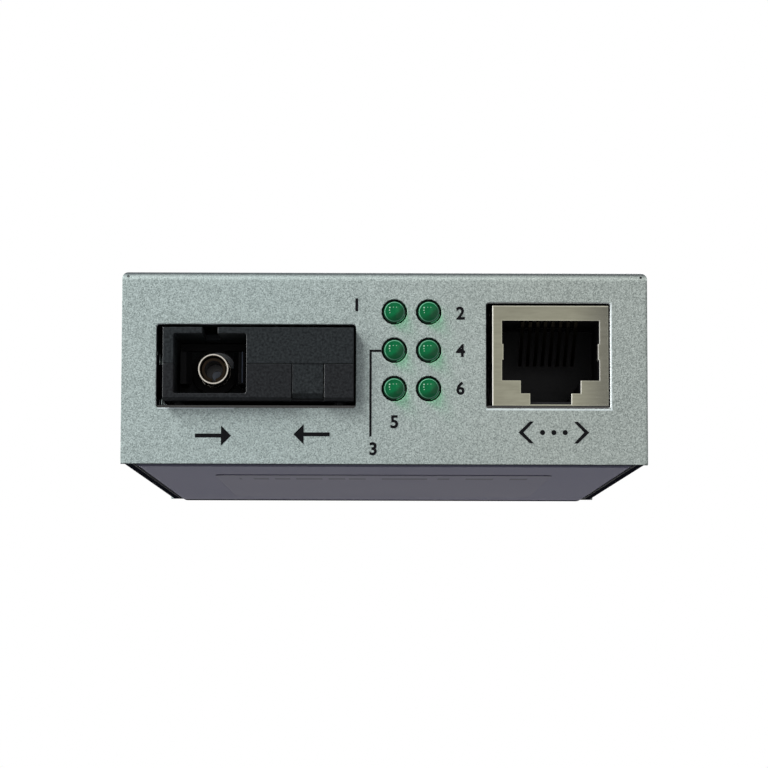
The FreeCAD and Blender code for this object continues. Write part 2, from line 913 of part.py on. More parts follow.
def module_board():
    half = module_width / 2 - shell_side - module_board_gap
    end = module_rear - shell_side - module_board_gap
    seat = module_board_seat()
    board = block(
        module_centre_x - half, module_centre_x + half, end - module_board_length, end,
        seat, seat + module_board_thickness)
    holes = [
        thin_hole(Vector(x, pins_y, seat), up, pin_size / math.sqrt(2) + thread_gap, module_board_thickness)
        for x in module_pin_places()
    ]
    return board.cut(holes)


def module_driver():
    seat = module_board_seat() + module_board_thickness
    y = module_rear - shell_side - module_board_gap - module_board_length / 2
    return centred(module_centre_x, y, seat, driver_size, driver_size, driver_height)


def module_pins():
    top = module_board_seat() + module_board_thickness + pin_size
    pins = []
    for x in module_pin_places():
        pins.append(centred(x, pins_y, lead_tip, pin_size, pin_size, top - lead_tip))
        through_board(x, pins_y, pin_size / math.sqrt(2))
    return Part.makeCompound(pins)


def module_posts():
    posts = []
    length = module_under + post_seat - lead_tip
    for x in module_post_places():
        posts.append(thin_rod(Vector(x, posts_y, lead_tip), up, post_radius, length))
        through_board(x, posts_y, post_radius)
    return Part.makeCompound(posts)


def plug_outline(y, grow, foot):
    # mouth for the plug: wide space, latch step and narrow notch down to the foot, seen from the front
    wide = plug_width / 2 + grow
    step = step_width / 2 + grow
    notch = notch_width / 2 + grow
    levels = [
        (wide, plug_roof + grow), (wide, plug_floor - grow), (step, plug_floor - grow),
        (step, step_floor - grow), (notch, step_floor - grow), (notch, foot),
    ]
    mirrored = [(-x, z) for x, z in reversed(levels)]
    return [Vector(plug_x + x, y, jack_under + z) for x, z in levels + mirrored]


def jack_shield():
    # thin folded can open at the foot, with the plug window, ground springs and two legs
    outer = block(jack_left, jack_right, jack_face, jack_rear, jack_under, jack_top)
    inner = block(
        jack_left + shield_sheet, jack_right - shield_sheet,
        jack_face + shield_sheet, jack_rear - shield_sheet,
        jack_under - 1, jack_top - shield_sheet)
    window = prism(plug_outline(jack_face - 1, 0, lip_height), back * (shield_sheet + 2))
    parts = [outer.cut([inner, window])]
    for side in (-1, 1):
        wall = jack_centre_x + side * jack_width / 2
        y0 = jack_face + spring_inset
        z0 = jack_under + spring_lift
        bulge = [
            Vector(wall - side * shield_sheet, y0, z0),
            Vector(wall, y0, z0),
            Vector(wall + side * spring_bulge, y0 + spring_length * 0.35, z0),
            Vector(wall + side * spring_bulge, y0 + spring_length * 0.65, z0),
            Vector(wall, y0 + spring_length, z0),
            Vector(wall - side * shield_sheet, y0 + spring_length, z0),
        ]
        parts.append(prism(bulge, up * spring_width))
        edge = plug_x + side * plug_width / 2
        x0, x1 = sorted((edge, edge - side * spring_tab))
        parts.append(block(x0, x1, jack_face, jack_face + spring_tab_length, z0, z0 + spring_width))
        x0, x1 = sorted((wall, wall - side * shield_sheet))
        parts.append(block(
            x0, x1, legs_y - shield_leg_width / 2, legs_y + shield_leg_width / 2, lead_tip, jack_under + 1))
        through_board((x0 + x1) / 2, legs_y, shield_leg_width / 2)
    return join(parts)


def carrier_under():
    return plug_roof_z + carrier_above_roof


def contact_route(index):
    # up from the board, along under the roof, hairpin at the mouth, then down and back into the plug space
    row = index % 2
    pin_y = solder_y + (row - 0.5) * solder_row_pitch
    run_z = carrier_under() - contact_thickness / 2
    front_y = jack_face + contact_tip_inset
    return [
        (pin_y, lead_tip),
        (pin_y, run_z),
        (front_y + contact_bend / 2, run_z),
        (front_y, run_z - contact_bend),
        (front_y + contact_bend, run_z - 2 * contact_bend),
        (front_y + contact_back, plug_roof_z - contact_drop),
    ]


def contact_solids():
    solids = []
    for index in range(contact_count):
        x = plug_x + (index - (contact_count - 1) / 2) * contact_pitch
        points = [Vector(x, y, z) for y, z in contact_route(index)]
        solids.append(strip(points, contact_width, contact_thickness))
    return solids


def jack_contacts():
    for index in range(contact_count):
        x = plug_x + (index - (contact_count - 1) / 2) * contact_pitch
        pin_y = contact_route(index)[0][0]
        through_board(x, pin_y, math.hypot(contact_width, contact_thickness) / 2)
    return Part.makeCompound(contact_solids())


def carrier_outline():
    half = contact_count * contact_pitch / 2 + contact_width
    tongue_front = jack_face + contact_tip_inset + contact_bend
    block_front = solder_y - carrier_block / 2
    return half, tongue_front, block_front


def contact_carrier():
    # moulded piece that holds the eight wires: a tongue under the roof and a block at the rear
    half, tongue_front, block_front = carrier_outline()
    block_back = solder_y + carrier_block / 2
    block_foot = jack_under + plug_floor
    z = carrier_under()
    body = join([
        block(plug_x - half, plug_x + half, tongue_front, block_back, z, z + carrier_thickness),
        block(plug_x - half, plug_x + half, block_front, block_back, block_foot, z + carrier_thickness),
    ])
    return body.cut(contact_solids())


def jack_housing():
    half, tongue_front, block_front = carrier_outline()
    gap = shield_sheet + shield_fit
    body = block(
        jack_left + gap, jack_right - gap, jack_face + gap, jack_rear - gap, jack_under, jack_top - gap)
    z = carrier_under()
    cuts = [
        prism(
            plug_outline(jack_face - 1, window_margin, notch_floor - window_margin),
            back * (plug_depth + 1)),
        block(
            plug_x - half - carrier_gap, plug_x + half + carrier_gap, tongue_front - carrier_gap,
            jack_rear, z - contact_thickness - contact_slot_gap, z + carrier_thickness + carrier_gap),
        block(
            plug_x - half - carrier_gap, plug_x + half + carrier_gap, block_front - carrier_gap,
            jack_rear, jack_under - 1, z + carrier_thickness + carrier_gap),
    ]
    for index in range(contact_count):
        x = plug_x + (index - (contact_count - 1) / 2) * contact_pitch
        reach = contact_width / 2 + contact_slot_gap
        cuts.append(block(
            x - reach, x + reach, jack_face + contact_tip_inset - 2 * contact_bend,
            jack_face + contact_tip_inset + contact_back + contact_bend,
            plug_roof_z - 1, z + contact_slot_gap))
    pegs = []
    for side in (-1, 1):
        x = jack_centre_x + side * peg_spacing / 2
        pegs.append(thin_rod(
            Vector(x, pegs_y, board_under), up, peg_radius, jack_under + plug_floor / 4 - board_under))
        through_board(x, pegs_y, peg_radius)
    return join([body.cut(cuts)] + pegs)


def led_lens(x, z):
    # clear green body with a domed tip in flat steps and a flange at the back
    turns = [math.radians(led_dome_turn * step / led_dome_steps) for step in range(led_dome_steps, -1, -1)]
    profile = [(led_radius * math.cos(turn), led_radius * (1 - math.sin(turn))) for turn in turns]
    length = led_back - led_tip
    profile += [(led_radius, length - led_flange), (led_flange_radius, length - led_flange)]
    profile.append((led_flange_radius, length))
    return faceted(profile, Vector(x, led_tip, z), back, led_sides)


def led_leads():
    leads = []
    for x, z, row in led_spots:
        bend_y = led_back + led_first_back + row * led_row_back
        for side in (-1, 1):
            lead_x = x + side * led_lead_spacing / 2
            route = [(led_back, z), (bend_y, z), (bend_y, lead_tip)]
            leads.append(strip([Vector(lead_x, y, height) for y, height in route], led_lead, led_lead))
            through_board(lead_x, bend_y, led_lead / math.sqrt(2))
    return Part.makeCompound(leads)


def led_holder():
    # upright plate with stepped holes, a foot on the board and a rib between the columns
    xs = [x for x, _, _ in led_spots]
    zs = [z for _, z, _ in led_spots]
    x0 = min(xs) - holder_margin
    x1 = max(xs) + holder_margin
    top = max(zs) + holder_margin
    foot_end = holder_front + holder_foot_length
    parts = [
        block(x0, x1, holder_front, holder_back, board_top, top),
        block(x0, x1, holder_front, foot_end, board_top, board_top + holder_foot / 2),
    ]
    rib_x = led_centre_x - holder_rib / 2
    outline = [
        Vector(rib_x, holder_front, board_top),
        Vector(rib_x, foot_end, board_top),
        Vector(rib_x, foot_end, board_top + holder_foot),
        Vector(rib_x, holder_back + holder_rib_top, top),
        Vector(rib_x, holder_front, top),
    ]
    parts.append(prism(outline, right * holder_rib))
    holder = join(parts)
    cuts = []
    for x, z, row in led_spots:
        cuts.append(thin_hole(
            Vector(x, holder_front, z), back, led_radius + led_holder_gap, holder_back - holder_front))
        cuts.append(thin_hole(
            Vector(x, holder_back, z), back, led_flange_radius + led_holder_gap,
            led_flange + led_holder_gap))
        bend_y = led_back + led_first_back + row * led_row_back
        for side in (-1, 1):
            lead_x = x + side * led_lead_spacing / 2
            cuts.append(centred(lead_x, bend_y, board_top, 2 * led_lead, 2 * led_lead, holder_foot))
    return holder.cut(cuts)


def inlet_spring_route():
    groove_z = inlet_axis - inlet_bore - inlet_strip / 2
    start_y = inlet_face - inlet_bore_depth + inlet_strip
    return [
        (start_y, lead_tip),
        (start_y, groove_z),
        (start_y + inlet_spring_reach / 2, groove_z + inlet_spring_bulge),
        (start_y + inlet_spring_reach, groove_z),
    ]


def inlet_housing():
    body = inlet_body(0, inlet_front, inlet_face)
    bore_end = inlet_face - inlet_bore_depth
    spring_half = inlet_spring_width / 2 + carrier_gap
    start_y, groove_z = inlet_spring_route()[1]
    cuts = [
        rod(Vector(inlet_x, bore_end, inlet_axis), back, inlet_bore, inlet_bore_depth + 1),
        Part.makeCone(
            inlet_bore, inlet_bore + inlet_mouth_lip, inlet_mouth_lip,
            Vector(inlet_x, inlet_face - inlet_mouth_lip, inlet_axis), back),
        thin_hole(
            Vector(inlet_x, inlet_front - 1, inlet_axis), back, inlet_shank + thread_gap,
            inlet_depth, lead_hole_sides),
        block(
            inlet_x - spring_half, inlet_x + spring_half, start_y - inlet_strip,
            start_y + inlet_spring_reach + inlet_strip, groove_z - inlet_strip,
            inlet_axis - inlet_bore / 2),
        block(
            inlet_x - spring_half, inlet_x + spring_half, start_y - inlet_strip, start_y + inlet_strip,
            board_top - 1, groove_z),
    ]
    return body.cut(cuts)


def inlet_pin_piece():
    # round pin, its thinner shank riveted to an upright terminal on the housing's inner end
    root = inlet_face - inlet_bore_depth
    length = inlet_bore_depth - inlet_pin_recess
    taper = inlet_pin / 3
    profile = [
        (0, 0), (inlet_pin, 0), (inlet_pin, length - taper), (inlet_pin - taper, length), (0, length),
    ]
    pin = turned(profile, Vector(inlet_x, root, inlet_axis), back)
    terminal_y = inlet_front - inlet_strip
    shank = thin_rod(
        Vector(inlet_x, terminal_y, inlet_axis), back, inlet_shank, root - terminal_y, lead_hole_sides)
    half = inlet_terminal_width / 2
    terminal = block(
        inlet_x - half, inlet_x + half, terminal_y, inlet_front, lead_tip, inlet_axis + inlet_pin)
    through_board(inlet_x, inlet_front - inlet_strip / 2, half)
    return join([pin, shank, terminal])


def inlet_spring():
    route = inlet_spring_route()
    points = [Vector(inlet_x, y, z) for y, z in route]
    through_board(inlet_x, route[0][0], inlet_spring_width / 2)
    return strip(points, inlet_spring_width, inlet_strip)


def gull_leg(root, outward, width, reach, middle):
    # flat leg that leaves the body at its middle, drops and turns out onto the board
    half = leg_thickness / 2
    knee = reach * 0.4
    outline = [
        (0, middle + half), (knee + half, middle + half), (knee + half, leg_thickness),
        (reach, leg_thickness), (reach, 0), (knee - half, 0),
        (knee - half, middle - half), (0, middle - half),
    ]
    across = outward.cross(up)
    start = root - across * (width / 2)
    return prism([start + outward * u + up * z for u, z in outline], across * width)


def leg_rows(x, y, half_x, half_y, count, pitch, width, reach, middle, sides):
    legs = []
    for outward in sides:
        across = outward.cross(up)
        edge = half_x if abs(outward.x) > 0.5 else half_y
        first = Vector(x, y, board_top) + outward * edge
        for index in range(count):
            shift = across * ((index - (count - 1) / 2) * pitch)
            legs.append(gull_leg(first + shift, outward, width, reach, middle))
    return Part.makeCompound(legs)


def moulded(x, y, z0, width, length, height, dimple):
    # moulded package with bevelled edges and a round mark over its first leg
    body = centred(x, y, z0, width, length, height)
    rim = [edge for edge in body.Edges if edge.BoundBox.ZMin > z0 + height - 0.01]
    body = body.makeChamfer(height / 8, rim)
    corner = Vector(x - width / 2 + 3 * dimple, y - length / 2 + 3 * dimple, z0 + height - dimple / 4)
    return body.cut(thin_hole(corner, up, dimple, dimple))


def converter_chip():
    y = front_face + chip_inset
    return moulded(chip_x, y, board_top + chip_stand, chip_size, chip_size, chip_height, chip_size / 18)


def chip_legs():
    y = front_face + chip_inset
    half = chip_size / 2
    return leg_rows(
        chip_x, y, half, half, chip_side_legs, chip_leg_pitch, chip_leg_width, chip_leg_reach,
        chip_stand + chip_height / 2, (right, -right, back, -back))


def line_transformer():
    y = front_face + magnetics_inset
    return moulded(
        magnetics_x, y, board_top + magnetics_stand, magnetics_width, magnetics_length, magnetics_height,
        magnetics_length / 18)


def transformer_legs():
    y = front_face + magnetics_inset
    return leg_rows(
        magnetics_x, y, magnetics_width / 2, magnetics_length / 2, magnetics_side_legs, magnetics_leg_pitch,
        magnetics_leg_width, magnetics_leg_reach, magnetics_stand + magnetics_height / 4, (back, -back))


def capsule(x, y, z0, width, length, height):
    # upright-sided form with half-round ends, its length along Y
    straight = length - width
    return join([
        centred(x, y, z0, width, straight, height),
        thin_hole(Vector(x, y - straight / 2, z0), up, width / 2, height, small_round_sides),
        thin_hole(Vector(x, y + straight / 2, z0), up, width / 2, height, small_round_sides),
    ])


def crystal_can():
    y = module_rear + crystal_gap
    rim_width = crystal_width + 2 * crystal_rim
    rim_length = crystal_length + 2 * crystal_rim
    parts = [
        capsule(crystal_x, y, board_top, crystal_width, crystal_length, crystal_height),
        capsule(crystal_x, y, board_top, rim_width, rim_length, crystal_rim_height),
    ]
    lead_length = board_top - lead_tip
    for side in (-1, 1):
        lead_y = y + side * crystal_lead_pitch / 2
        parts.append(thin_rod(Vector(crystal_x, lead_y, lead_tip), up, crystal_lead_radius, lead_length))
        through_board(crystal_x, lead_y, crystal_lead_radius)
    return join(parts)


def supply_capacitor(x):
    y = rear_face - capacitor_rear_inset
    bead = capacitor_bead
    radius = capacitor_radius
    groove = 4 * bead
    profile = [
        (radius, 0), (radius, groove), (radius - bead, groove + bead), (radius, groove + 2 * bead),
        (radius, capacitor_height),
    ]
    parts = [faceted(profile, Vector(x, y, board_top), up, screw_sides)]
    lead_length = board_top - lead_tip
    for side in (-1, 1):
        lead_x = x + side * capacitor_lead_pitch / 2
        parts.append(thin_rod(Vector(lead_x, y, lead_tip), up, capacitor_lead_radius, lead_length))
        through_board(lead_x, y, capacitor_lead_radius)
    can = join(parts)
    vent_depth = bead / 2
    vents = [
        centred(x, y, board_top + capacitor_height - vent_depth, radius, bead, bead),
        centred(x, y, board_top + capacitor_height - vent_depth, bead, radius, bead),
    ]
    return can.cut(vents)


def voltage_regulator():
    y = rear_face - regulator_rear_inset
    return moulded(
        regulator_x, y, board_top, regulator_width, regulator_length, regulator_height,
        regulator_length / 14)


def regulator_leads():
    y = rear_face - regulator_rear_inset
    edge = regulator_length / 2
    middle = regulator_height / 2
    root = Vector(regulator_x, y, board_top)
    leads = [gull_leg(root + back * edge, back, regulator_tab_width, edge, middle)]
    for index in (-1, 0, 1):
        start = root - back * edge + right * (index * regulator_leg_pitch)
        leads.append(gull_leg(start, -back, regulator_leg_width, edge, middle))
    return Part.makeCompound(leads)


def supply_coil_core():
    profile = [
        (coil_radius, 0), (coil_radius, coil_flange), (coil_waist, coil_flange),
        (coil_waist, coil_height - coil_flange), (coil_radius, coil_height - coil_flange),
        (coil_radius, coil_height),
    ]
    return faceted(profile, Vector(coil_x, rear_face - coil_rear_inset, board_top), up, screw_sides)


def supply_coil_winding():
    start = Vector(coil_x, rear_face - coil_rear_inset, board_top + coil_flange)
    length = coil_height - 2 * coil_flange
    winding = thin_rod(start, up, coil_radius - coil_flange / 3, length, screw_sides)
    return winding.cut(thin_rod(start, up, coil_waist, length, screw_sides))


def chip_components():
    parts = []
    for row in range(small_part_rows):
        for column in range(small_part_columns):
            x = coil_x + small_parts_offset + column * small_part_pitch
            y = rear_face - small_parts_rear_inset - row * small_part_pitch
            parts.append(centred(x, y, board_top, small_part_length, small_part_width, small_part_height))
    return Part.makeCompound(parts)


upper_shell, lower_shell = module_shells()
nodes = {
    "top_cover": top_cover(),
    "base_tray": base_tray(),
    "base_label": base_label(),
    "case_screws": case_screws(),
    "board_standoffs": board_standoffs(),
    "board_screws": board_screws(),
    "transceiver_upper_shell": upper_shell,
    "transceiver_lower_shell": lower_shell,
    "latch_insert": latch_insert(),
    "sleeve_holder": sleeve_holder(),
    "split_sleeve": split_sleeve(),
    "fibre_stub": fibre_stub(),
    "optical_block": optical_block(),
    "laser_can": laser_can(),
    "detector_can": detector_can(),
    "transceiver_board": module_board(),
    "driver_chip": module_driver(),
    "transceiver_pins": module_pins(),
    "transceiver_posts": module_posts(),
    "jack_shield": jack_shield(),
    "jack_housing": jack_housing(),
    "contact_carrier": contact_carrier(),
    "jack_contacts": jack_contacts(),
    "led_holder": led_holder(),
    "led_leads": led_leads(),
    "inlet_housing": inlet_housing(),
    "inlet_pin": inlet_pin_piece(),
    "inlet_spring": inlet_spring(),
    "converter_chip": converter_chip(),
    "chip_legs": chip_legs(),
    "line_transformer": line_transformer(),
    "transformer_legs": transformer_legs(),
    "crystal_can": crystal_can(),
    "voltage_regulator": voltage_regulator(),
    "regulator_leads": regulator_leads(),
    "supply_coil_core": supply_coil_core(),
    "supply_coil_winding": supply_coil_winding(),
    "chip_components": chip_components(),
}
for number, (x, z, row) in enumerate(led_spots, start=1):
    nodes["led_" + str(number)] = led_lens(x, z)
for number in (1, 2):
    x = capacitor_x + (number - 1) * capacitor_pitch
    nodes["supply_capacitor_" + str(number)] = supply_capacitor(x)
nodes["circuit_board"] = circuit_board()

os.makedirs("parts", exist_ok=True)
for name, shape in nodes.items():
    shape.exportStep("parts/" + name + ".step")
    print(name, "solids", len(shape.Solids), "valid", shape.isValid(), "volume", round(shape.Volume, 2))
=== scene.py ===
import math

import bmesh
import bpy
import numpy as np
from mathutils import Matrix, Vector


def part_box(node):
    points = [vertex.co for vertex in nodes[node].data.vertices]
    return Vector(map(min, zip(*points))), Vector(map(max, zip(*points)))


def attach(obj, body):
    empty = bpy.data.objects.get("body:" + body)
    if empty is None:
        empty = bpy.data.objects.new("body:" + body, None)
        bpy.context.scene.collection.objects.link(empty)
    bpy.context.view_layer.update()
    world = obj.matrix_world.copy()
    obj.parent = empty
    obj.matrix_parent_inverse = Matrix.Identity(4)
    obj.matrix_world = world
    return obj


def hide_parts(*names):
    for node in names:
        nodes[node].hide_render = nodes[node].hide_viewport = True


# Fibre media converter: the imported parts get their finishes, the indicators get real lenses,
# and the front panel gets its printed marks. Lengths are in metres where no comment says millimetres.

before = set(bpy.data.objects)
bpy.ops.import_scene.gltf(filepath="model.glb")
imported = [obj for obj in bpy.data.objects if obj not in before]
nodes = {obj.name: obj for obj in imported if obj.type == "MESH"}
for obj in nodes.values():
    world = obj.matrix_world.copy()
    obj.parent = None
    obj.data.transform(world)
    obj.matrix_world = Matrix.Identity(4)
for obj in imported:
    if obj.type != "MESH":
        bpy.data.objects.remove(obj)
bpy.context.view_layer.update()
print("scene: frame loaded,", len(nodes), "parts")

mm = 0.001
shieldSetBack = 1.05 * mm        # from the front panel's outer face back to the copper socket's shield
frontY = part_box("jack_shield")[0].y - shieldSetBack      # outer face of the front panel
skin = 0.01 * mm                 # a face's own surface reaches this deep


def newGroup(name, inputs, outputs):
    # inputs and outputs give each socket's name and kind
    group = bpy.data.node_groups.new(name, "ShaderNodeTree")
    for direction, sockets in (("INPUT", inputs), ("OUTPUT", outputs)):
        for label, kind in sockets.items():
            group.interface.new_socket(label, in_out=direction, socket_type="NodeSocket" + kind)
    return group


def link(tree, source, target):
    # the source is a socket, or a plain value for the target
    if isinstance(source, bpy.types.NodeSocket):
        tree.links.new(source, target)
    else:
        target.default_value = source


def addNode(tree, kind, inputs=None, **settings):
    # a node with its settings; the keys of inputs are socket names or numbers, and each value
    # is a plain one or a socket of another node
    node = tree.nodes.new(kind)
    for key, value in settings.items():
        setattr(node, key, value)
    for key, value in (inputs or {}).items():
        link(tree, value, node.inputs[key])
    return node


def rgba(red, green, blue):
    return (red, green, blue, 1.0)


def compute(tree, operation, first, second):
    return addNode(tree, "ShaderNodeMath", {0: first, 1: second}, operation=operation).outputs[0]


def multiply(tree, *factors):
    # the product of several masks
    result = factors[0]
    for factor in factors[1:]:
        result = compute(tree, "MULTIPLY", result, factor)
    return result


def without(tree, mask):
    # the mask turned round
    return compute(tree, "SUBTRACT", 1.0, mask)


def within(tree, value, low, high):
    # 1 where the value lies between low and high, else 0
    node = addNode(tree, "ShaderNodeMath", {0: value, 1: (low + high) / 2, 2: (high - low) / 2},
                   operation="COMPARE")
    return node.outputs[0]


def mapRange(tree, value, start, end, low=0.0, high=1.0, **settings):
    # low where the value is at start, high at end, and level beyond them
    node = addNode(tree, "ShaderNodeMapRange", {0: value, 1: start, 2: end, 3: low, 4: high}, **settings)
    return node.outputs[0]


noiseSpan = (0.3, 0.7)           # nearly all of a noise texture's values lie between these
edgeMatch = (0.99, 0.88)         # cosine between eased and true normal: from plain face to full edge
leftTurn = (-0.08, -0.35)        # X of the eased normal: from straight ahead to turned left
mixSockets = {"FLOAT": (2, 3, 0), "VECTOR": (4, 5, 1), "RGBA": (6, 7, 2)}     # two inputs, one output


def mixed(tree, kind, share, first, second, **settings):
    # the first value where the share is 0, the second where it is 1
    left, right, result = mixSockets[kind]
    values = {0: share, left: first, right: second}
    node = addNode(tree, "ShaderNodeMix", values, data_type=kind, **settings)
    return node.outputs[result]


def objectVector(tree):
    return addNode(tree, "ShaderNodeTexCoord").outputs["Object"]


def parted(tree, vector):
    # the X, Y and Z of a vector
    node = addNode(tree, "ShaderNodeSeparateXYZ", {0: vector})
    return [node.outputs[axis] for axis in "XYZ"]


def objectPlace(tree):
    # the X, Y and Z of the object's own coordinates
    return parted(tree, objectVector(tree))


def axisDistance(tree, x, z, centreX, centreZ):
    # distance from a line along Y through centreX, centreZ
    offset = addNode(tree, "ShaderNodeCombineXYZ", {0: x, 2: z})
    gap = addNode(tree, "ShaderNodeVectorMath", {0: offset.outputs[0], 1: (centreX, 0.0, centreZ)},
                  operation="DISTANCE")
    return gap.outputs["Value"]


def trueNormal(tree):
    return addNode(tree, "ShaderNodeNewGeometry").outputs["True Normal"]


def edgeMask(tree, easedNormal):
    # 1 on edges, where the eased normal leaves the face's own
    match = addNode(tree, "ShaderNodeVectorMath", {0: trueNormal(tree), 1: easedNormal},
                    operation="DOT_PRODUCT")
    return mapRange(tree, match.outputs["Value"], *edgeMatch)


def leftMask(tree, easedNormal):
    # 1 where the eased normal turns to the left
    return mapRange(tree, parted(tree, easedNormal)[0], *leftTurn)


def buildGrain():
    # two layers of noise on the object's own coordinates: fine grain over broad clouds
    tree = newGroup("fineGrain", {
        "Dark": "Color", "Light": "Color", "Grain Scale": "Float", "Cloud Scale": "Float",
        "Cloud Share": "Float", "Stretch": "Vector", "Rough Low": "Float", "Rough High": "Float",
    }, {"Color": "Color", "Roughness": "Float", "Height": "Float"})
    entry = addNode(tree, "NodeGroupInput").outputs
    where = objectVector(tree)
    stretched = addNode(tree, "ShaderNodeVectorMath", {0: where, 1: entry["Stretch"]}, operation="MULTIPLY")
    fine = addNode(tree, "ShaderNodeTexNoise", {
        "Vector": stretched.outputs[0], "Scale": entry["Grain Scale"], "Detail": 3.0, "Roughness": 0.6})
    broad = addNode(tree, "ShaderNodeTexNoise", {
        "Vector": where, "Scale": entry["Cloud Scale"], "Detail": 2.0, "Roughness": 0.5})
    spread = mapRange(tree, fine.outputs["Fac"], *noiseSpan)
    share = mixed(tree, "FLOAT", entry["Cloud Share"], spread, broad.outputs["Fac"])
    addNode(tree, "NodeGroupOutput", {
        "Color": mixed(tree, "RGBA", share, entry["Dark"], entry["Light"]),
        "Roughness": mixed(tree, "FLOAT", share, entry["Rough Low"], entry["Rough High"]),
        "Height": spread})
    return tree


grainGroup = buildGrain()


def newMaterial(name, kind="ShaderNodeBsdfPrincipled"):
    material = bpy.data.materials.new(name)
    material.use_nodes = True
    tree = material.node_tree
    tree.nodes.clear()
    shader = addNode(tree, kind)
    addNode(tree, "ShaderNodeOutputMaterial", {"Surface": shader.outputs[0]})
    return material, tree, shader


def mixShaders(tree, share, first, second, surface):
    # the second shader where the share is 1
    mix = addNode(tree, "ShaderNodeMixShader", {0: share, 1: first.outputs[0], 2: second.outputs[0]})
    link(tree, mix.outputs[0], surface)


def blend(tree, shader, mask, colour, mode="MIX"):
    # lays a plain colour over what the shader's base colour has so far, where the mask is 1
    base = shader.inputs["Base Color"]
    before = base.links[0].from_socket
    link(tree, mixed(tree, "RGBA", mask, before, rgba(*colour), blend_type=mode), base)


def addBump(tree, height, strength, depth):
    return addNode(tree, "ShaderNodeBump", {"Strength": strength, "Distance": depth, "Height": height})


def glossBy(tree, shader, mask, plain, masked):
    # the specular level is plain where the mask is 0 and masked where it is 1
    link(tree, mapRange(tree, mask, 0.0, 1.0, plain, masked), shader.inputs["Specular IOR Level"])


usualFinish = {      # what a finish has where its own values don't say
    "cloudScale": 60.0, "cloudShare": 0.3, "stretch": (1.0, 1.0, 1.0), "edge": 0.08 * mm,
    "bump": 0.3, "bumpDepth": 0.02 * mm, "specular": 0.5, "metallic": 0.0, "coat": 0.0,
    "coatRough": 0.1}


def grainFinish(name, ownValues):
    # a finish from the shared grain: colour, roughness and bump, with an eased edge
    values = {**usualFinish, **ownValues}
    material, tree, shader = newMaterial(name)
    grain = addNode(tree, "ShaderNodeGroup", {
        "Dark": rgba(*values["dark"]), "Light": rgba(*values["light"]),
        "Grain Scale": values["grainScale"], "Cloud Scale": values["cloudScale"],
        "Cloud Share": values["cloudShare"], "Stretch": values["stretch"],
        "Rough Low": values["rough"][0], "Rough High": values["rough"][1]}, node_tree=grainGroup)
    link(tree, grain.outputs["Color"], shader.inputs["Base Color"])
    link(tree, grain.outputs["Roughness"], shader.inputs["Roughness"])
    eased = addNode(tree, "ShaderNodeBevel", {"Radius": values["edge"]}, samples=6).outputs[0]
    bump = addBump(tree, grain.outputs["Height"], values["bump"], values["bumpDepth"])
    link(tree, bump.outputs[0], shader.inputs["Normal"])
    for socket, key in (("Metallic", "metallic"), ("Specular IOR Level", "specular"),
                        ("Coat Weight", "coat"), ("Coat Roughness", "coatRough")):
        shader.inputs[socket].default_value = values[key]
    if "edgeHighlight" in values:
        # thin sheet: painted highlights brighten its rim on every edge, much more where the edge turns to
        # the left, towards the lamps
        edge = edgeMask(tree, eased)
        blend(tree, shader, edge, values["edgeHighlight"])
        blend(tree, shader, multiply(tree, edge, leftMask(tree, eased)), values["leftHighlight"])
    else:
        link(tree, eased, bump.inputs["Normal"])
    if "edgeShine" in values:
        # moulded edges with a painted sheen: glossier only where they turn to the left, towards the lamps
        leftEdge = multiply(tree, edgeMask(tree, eased), leftMask(tree, eased))
        glossBy(tree, shader, leftEdge, values["specular"], values["edgeShine"])
    return material, tree, shader


def paint(nodeNames, material):
    for name in nodeNames:
        mesh = nodes[name].data
        mesh.materials.clear()
        mesh.materials.append(material)


